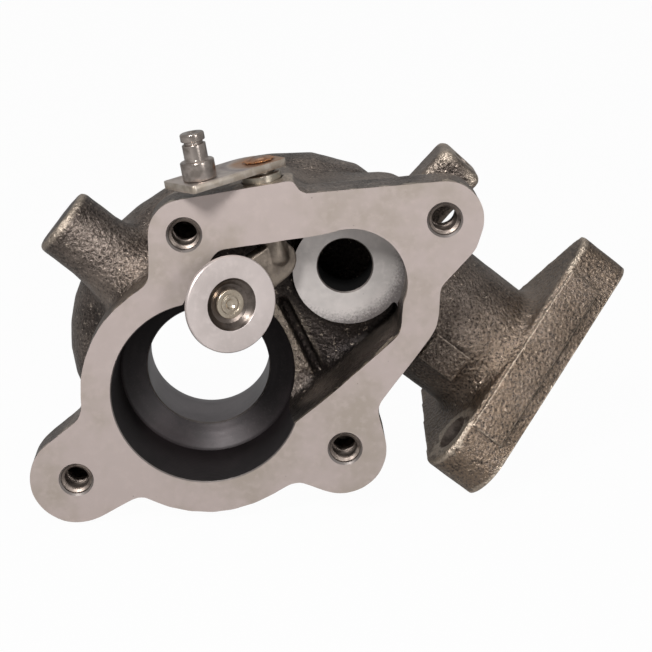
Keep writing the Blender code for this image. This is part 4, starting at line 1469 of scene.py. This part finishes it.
@dataclass
class Lever:
    """The outside lever: its plate, its stepped pin, the crank arm inside and the bush."""

    base: float = 0.0264  # how far along the shaft the plate's lower side lies
    thickness: float = 0.0024
    plate_edge: float = 0.00022
    voxel: float = 0.00030
    collar_radius: float = 0.0052
    collar_height: float = 0.0057
    shank_radius: float = 0.0036
    shank_height: float = 0.0050
    groove_radius: float = 0.0029
    groove_height: float = 0.0010
    head_radius: float = 0.0037
    head_height: float = 0.0025
    spigot_radius: float = 0.0030
    gap: float = 0.0003
    bush_inner: float = 0.0043
    bush_outer: float = 0.0062
    bush_low: float = 0.0060
    bush_high: float = 0.0252

    def pin(self, material: Material) -> Object:
        """Make the stepped pin.

        Args:
            material: Its finish.

        Returns:
            The pin.
        """
        low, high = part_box("lever_pin")
        _, axis = joint_axis(0)
        collar = self.base + self.thickness + self.gap
        shank = collar + self.collar_height
        groove = shank + self.shank_height
        head = groove + self.groove_height
        tip = head + self.head_height
        height = (self.base - 0.0004 + tip) / 2
        place = facing((low + high) / 2 - axis * height, axis)
        return turned("actuator_pin", [
            (0, self.base - 0.0004),
            (self.spigot_radius, self.base - 0.0004, 0.0003),
            (self.spigot_radius, collar),
            (self.collar_radius, collar, 0.0003),
            (self.collar_radius, shank, 0.0005),
            (self.shank_radius + 0.0003, shank, 0.0002),
            (self.shank_radius, shank + 0.0004, 0.0002),
            (self.shank_radius, groove, 0.0002),
            (self.groove_radius, groove + 0.0002, 0.0001),
            (self.groove_radius, head - 0.0001, 0.0001),
            (self.head_radius, head + 0.0001, 0.0003),
            (self.head_radius, tip, 0.0006),
            (self.head_radius * 0.45, tip, 0.0002),
            (self.head_radius * 0.30, tip - 0.0003, 0.0002),
            (0, tip - 0.0004),
        ], place, 96, (material,))

    def bush(self, material: Material) -> Object:
        """Make the bush in its finish."""
        return turned("shaft_bush", [
            (self.bush_inner, self.bush_low), (self.bush_outer, self.bush_low, 0.0005),
            (self.bush_outer, self.bush_high, 0.0006), (self.bush_inner, self.bush_high),
        ], facing(*joint_axis(0)), 96, (material,))

    def plate(self, material: Material) -> Object:
        """Make the lever plate, with its edges broken.

        Args:
            material: Its finish.

        Returns:
            The plate.
        """
        plate = cad_copy("lever_plate", "lever_strip")
        modify(plate, "BEVEL", width=self.plate_edge, segments=3, limit_method="ANGLE", angle_limit=radians(50))
        settle(plate)
        finish_mesh(plate, (material,), CREASE)
        return plate

    def arm(self, forged: Material, weld: Material) -> Object:
        """Make the shaft and crank arm, a forging welded at its outer end.

        Args:
            forged: The forging's finish.
            weld: The weld's finish.

        Returns:
            The arm.
        """
        arm = cad_copy("wastegate_arm", "crank_forging")
        modify(arm, "REMESH", mode="VOXEL", voxel_size=self.voxel)
        settle(arm)
        weather(arm, soften=4, fill_steps=8, swell=0.00003, wave=0.002)
        origin, axis = joint_axis(0)
        top = self.base + self.thickness + 0.0001
        for face in arm.data.polygons:
            face.material_index = int((face.center - origin).dot(axis) > top)
        finish_mesh(arm, (forged, weld), 60)
        return arm


# The studio --------------------------------------------------


@dataclass(frozen=True)
class Lamp:
    """A soft rectangular lamp that looks at a point."""

    name: str
    place: Triple
    size: Pair
    power: float
    aim: Triple = (0.0, 0.0, 0.055)

    def build(self) -> None:
        """Hang the lamp."""
        data = bpy.data.lights.new(self.name, "AREA")
        data.shape = "RECTANGLE"
        data.size, data.size_y = self.size
        data.energy = self.power
        lamp = bpy.data.objects.new(self.name, data)
        bpy.context.scene.collection.objects.link(lamp)
        lamp.location = self.place
        lamp.rotation_euler = (Vector(self.aim) - Vector(self.place)).to_track_quat("-Z", "Y").to_euler()


@dataclass
class Studio:
    """The floor, the lamps, the surroundings and the camera."""

    camera_place: Triple = (-0.019797, -0.541716, 0.223028)
    camera_turn: float = 1.8
    camera_drop: float = 17.3
    lens: float = 93.87
    world_strength: float = 0.13
    mirror_share: float = 0.26
    lamps: Tuple[Lamp, ...] = (
        Lamp("key", (-0.26, -0.70, 0.66), (0.22, 0.20), 8.6),
        Lamp("top", (0.00, 0.10, 0.90), (0.40, 0.40), 0.6),
        Lamp("side", (0.50, -0.75, 0.30), (0.20, 0.20), 2.0),
    )

    def build(self) -> None:
        """Set up everything round the object."""
        for lamp in self.lamps:
            lamp.build()
        self._floor()
        self._world()
        self._camera()
        bpy.context.scene.view_settings.view_transform = "Standard"

    def _floor(self) -> None:
        """Lay the white floor, which keeps the object's soft shadow."""
        wide, thick, clear = 12, 0.02, 0.0002
        floor = box("floor", (wide, wide, thick), Matrix.Translation((0, 0, -thick / 2 - clear)))
        tree = Tree("studio_floor")
        shader = tree.add("ShaderNodeBsdfPrincipled", {}, {"Base Color": (0.40, 0.40, 0.40, 1), "Roughness": 0.9})
        glow = tree.add("ShaderNodeEmission", {}, {"Strength": 1.0})
        seen = tree.add("ShaderNodeLightPath", output="Is Camera Ray")
        share = seen * 0.975 + seen.other("Is Glossy Ray") * 0.10
        mix = tree.add("ShaderNodeMixShader", {}, {0: share, 1: shader, 2: glow})
        tree.close("ShaderNodeOutputMaterial", "Surface", mix)
        floor.data.materials.append(tree.material)

    def _world(self) -> None:
        """Make the surroundings white to the eye and softer as a light."""
        world = bpy.data.worlds.new("studio")
        world.use_nodes = True
        graph = Graph(world.node_tree)
        seen = graph.add("ShaderNodeLightPath", output="Is Camera Ray")
        share = seen.largest(seen.other("Is Glossy Ray") * self.mirror_share)
        inputs = {"Color": (1, 1, 1, 1), "Strength": share.between(self.world_strength, 1.0)}
        graph.close("ShaderNodeOutputWorld", "Surface", graph.add("ShaderNodeBackground", {}, inputs))
        bpy.context.scene.world = world

    def _camera(self) -> None:
        """Set the camera at the photograph's angle."""
        data = bpy.data.cameras.new("camera")
        data.lens = self.lens
        data.sensor_width = 36
        camera = bpy.data.objects.new("camera", data)
        bpy.context.scene.collection.objects.link(camera)
        turn, drop = radians(self.camera_turn), radians(self.camera_drop)
        ahead = Vector((sin(turn) * cos(drop), cos(turn) * cos(drop), -sin(drop)))
        right = Vector((cos(turn), -sin(turn), 0))
        up = right.cross(ahead)
        pose = Matrix((right, up, -ahead)).transposed().to_4x4()
        pose.translation = self.camera_place
        camera.matrix_world = pose
        bpy.context.scene.camera = camera


def casting_finishes() -> List[Material]:
    """Make the casting's materials.

    Returns:
        One for each region, in order.
    """
    seat_middle = PLACE + Vector((Casting.seat_centre[0], 0, Casting.seat_centre[1]))
    made = {
        Region.CAST: CastFinish("cast_iron").build(),
        Region.FACE: CutFinish("machined_face").build(),
        Region.CHAMBER: dark_bore("chamber_skin", (0.026, 0.020, 0.021), 0.44),
        Region.BORE: CutFinish(
            "turned_bore", (0.17, 0.150, 0.155), (0.12, 0.105, 0.110), roughness=0.30, metallic=0.9,
            mark_depth=0.00001,
        ).build(),
        Region.SEAT: CutFinish(
            "valve_seat", (0.62, 0.570, 0.545), (0.47, 0.435, 0.415), (0.10, 0.086, 0.084), 0.42, 0.5,
            origin=seat_middle, pore_share=1.6, dark_rim_radius=0.0172,
        ).build(),
        # The port's near-black tone is painted shade in the deep hole.
        Region.PORT: dark_bore("port_painted_shade", (0.004, 0.0035, 0.0035), 0.85),
        Region.CHAMFER: CutFinish(
            "cut_edge", (0.36, 0.32, 0.30), (0.26, 0.23, 0.215), roughness=0.34, metallic=0.9,
        ).build(),
        Region.TAPPED: satin_steel("tapped_hole", (0.30, 0.250, 0.218), (0.12, 0.098, 0.086), 0.46, 0.00008),
    }
    return [made[region] for region in Region]


def fit(piece: Object, node: str, body: str) -> None:
    """Put a piece in a CAD node's place and report it.

    Args:
        piece: The piece.
        node: The CAD node that it stands for.
        body: The body that carries it.
    """
    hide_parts(node)
    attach(piece, body)
    LOG.info("%s on %s: %d faces", piece.name, body, len(piece.data.polygons))


def main() -> None:
    """Build the visual model round the CAD frame."""
    logging.basicConfig(level=logging.INFO, format="%(message)s")
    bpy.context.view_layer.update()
    casting = Casting()
    finishes = casting_finishes()
    fit(casting.build(finishes), "turbine_housing", "housing")
    threads = Threads().build(casting.holes(), finishes[Region.TAPPED])
    threads.data.shade_smooth()
    threads.data.set_sharp_from_angle(angle=radians(CREASE))
    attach(threads, "housing")
    LOG.info("threads: %d faces", len(threads.data.polygons))
    origin, axis = joint_axis(1)
    disc_face = CutFinish(
        "valve_ground_face", (0.66, 0.58, 0.555), (0.57, 0.50, 0.475), roughness=0.36, metallic=0.5,
        origin=origin, axis=axis, lathe_pitch=0.0009, pore_share=0.2,
    ).build()
    dish = satin_steel("valve_dish", (0.17, 0.140, 0.122), (0.085, 0.070, 0.062), 0.30, 0.00001)
    rivet_finish = satin_steel("rivet_steel", (0.58, 0.50, 0.40), (0.42, 0.34, 0.26), 0.24, 0.00001)
    washer_finish = satin_steel("washer_steel", (0.42, 0.37, 0.33), (0.28, 0.24, 0.21), 0.30, 0.00001)
    pieces = Valve().build(disc_face, dish, rivet_finish, washer_finish)
    for piece, node in zip(pieces, ("valve_disc", "valve_rivet", "valve_washer")):
        fit(piece, node, "valve")
    lever = Lever()
    forged = satin_steel("forged_arm", (0.27, 0.225, 0.185), (0.17, 0.140, 0.115), 0.42, 0.00006)
    pin_finish = satin_steel("turned_pin", (0.46, 0.400, 0.362), (0.24, 0.205, 0.180), 0.22, 0.00001)
    bush_finish = satin_steel("bush_steel", (0.44, 0.40, 0.33), (0.30, 0.26, 0.22), 0.32, 0.00001)
    fit(lever.plate(zinc_plate("zinc_plate", joint_axis(0)[1])), "lever_plate", "crank")
    fit(lever.pin(pin_finish), "lever_pin", "crank")
    fit(lever.arm(forged, weld_bead("weld_bead")), "wastegate_arm", "crank")
    fit(lever.bush(bush_finish), "wastegate_bush", "housing")
    Studio().build()


if __name__ == "__main__":
    main()
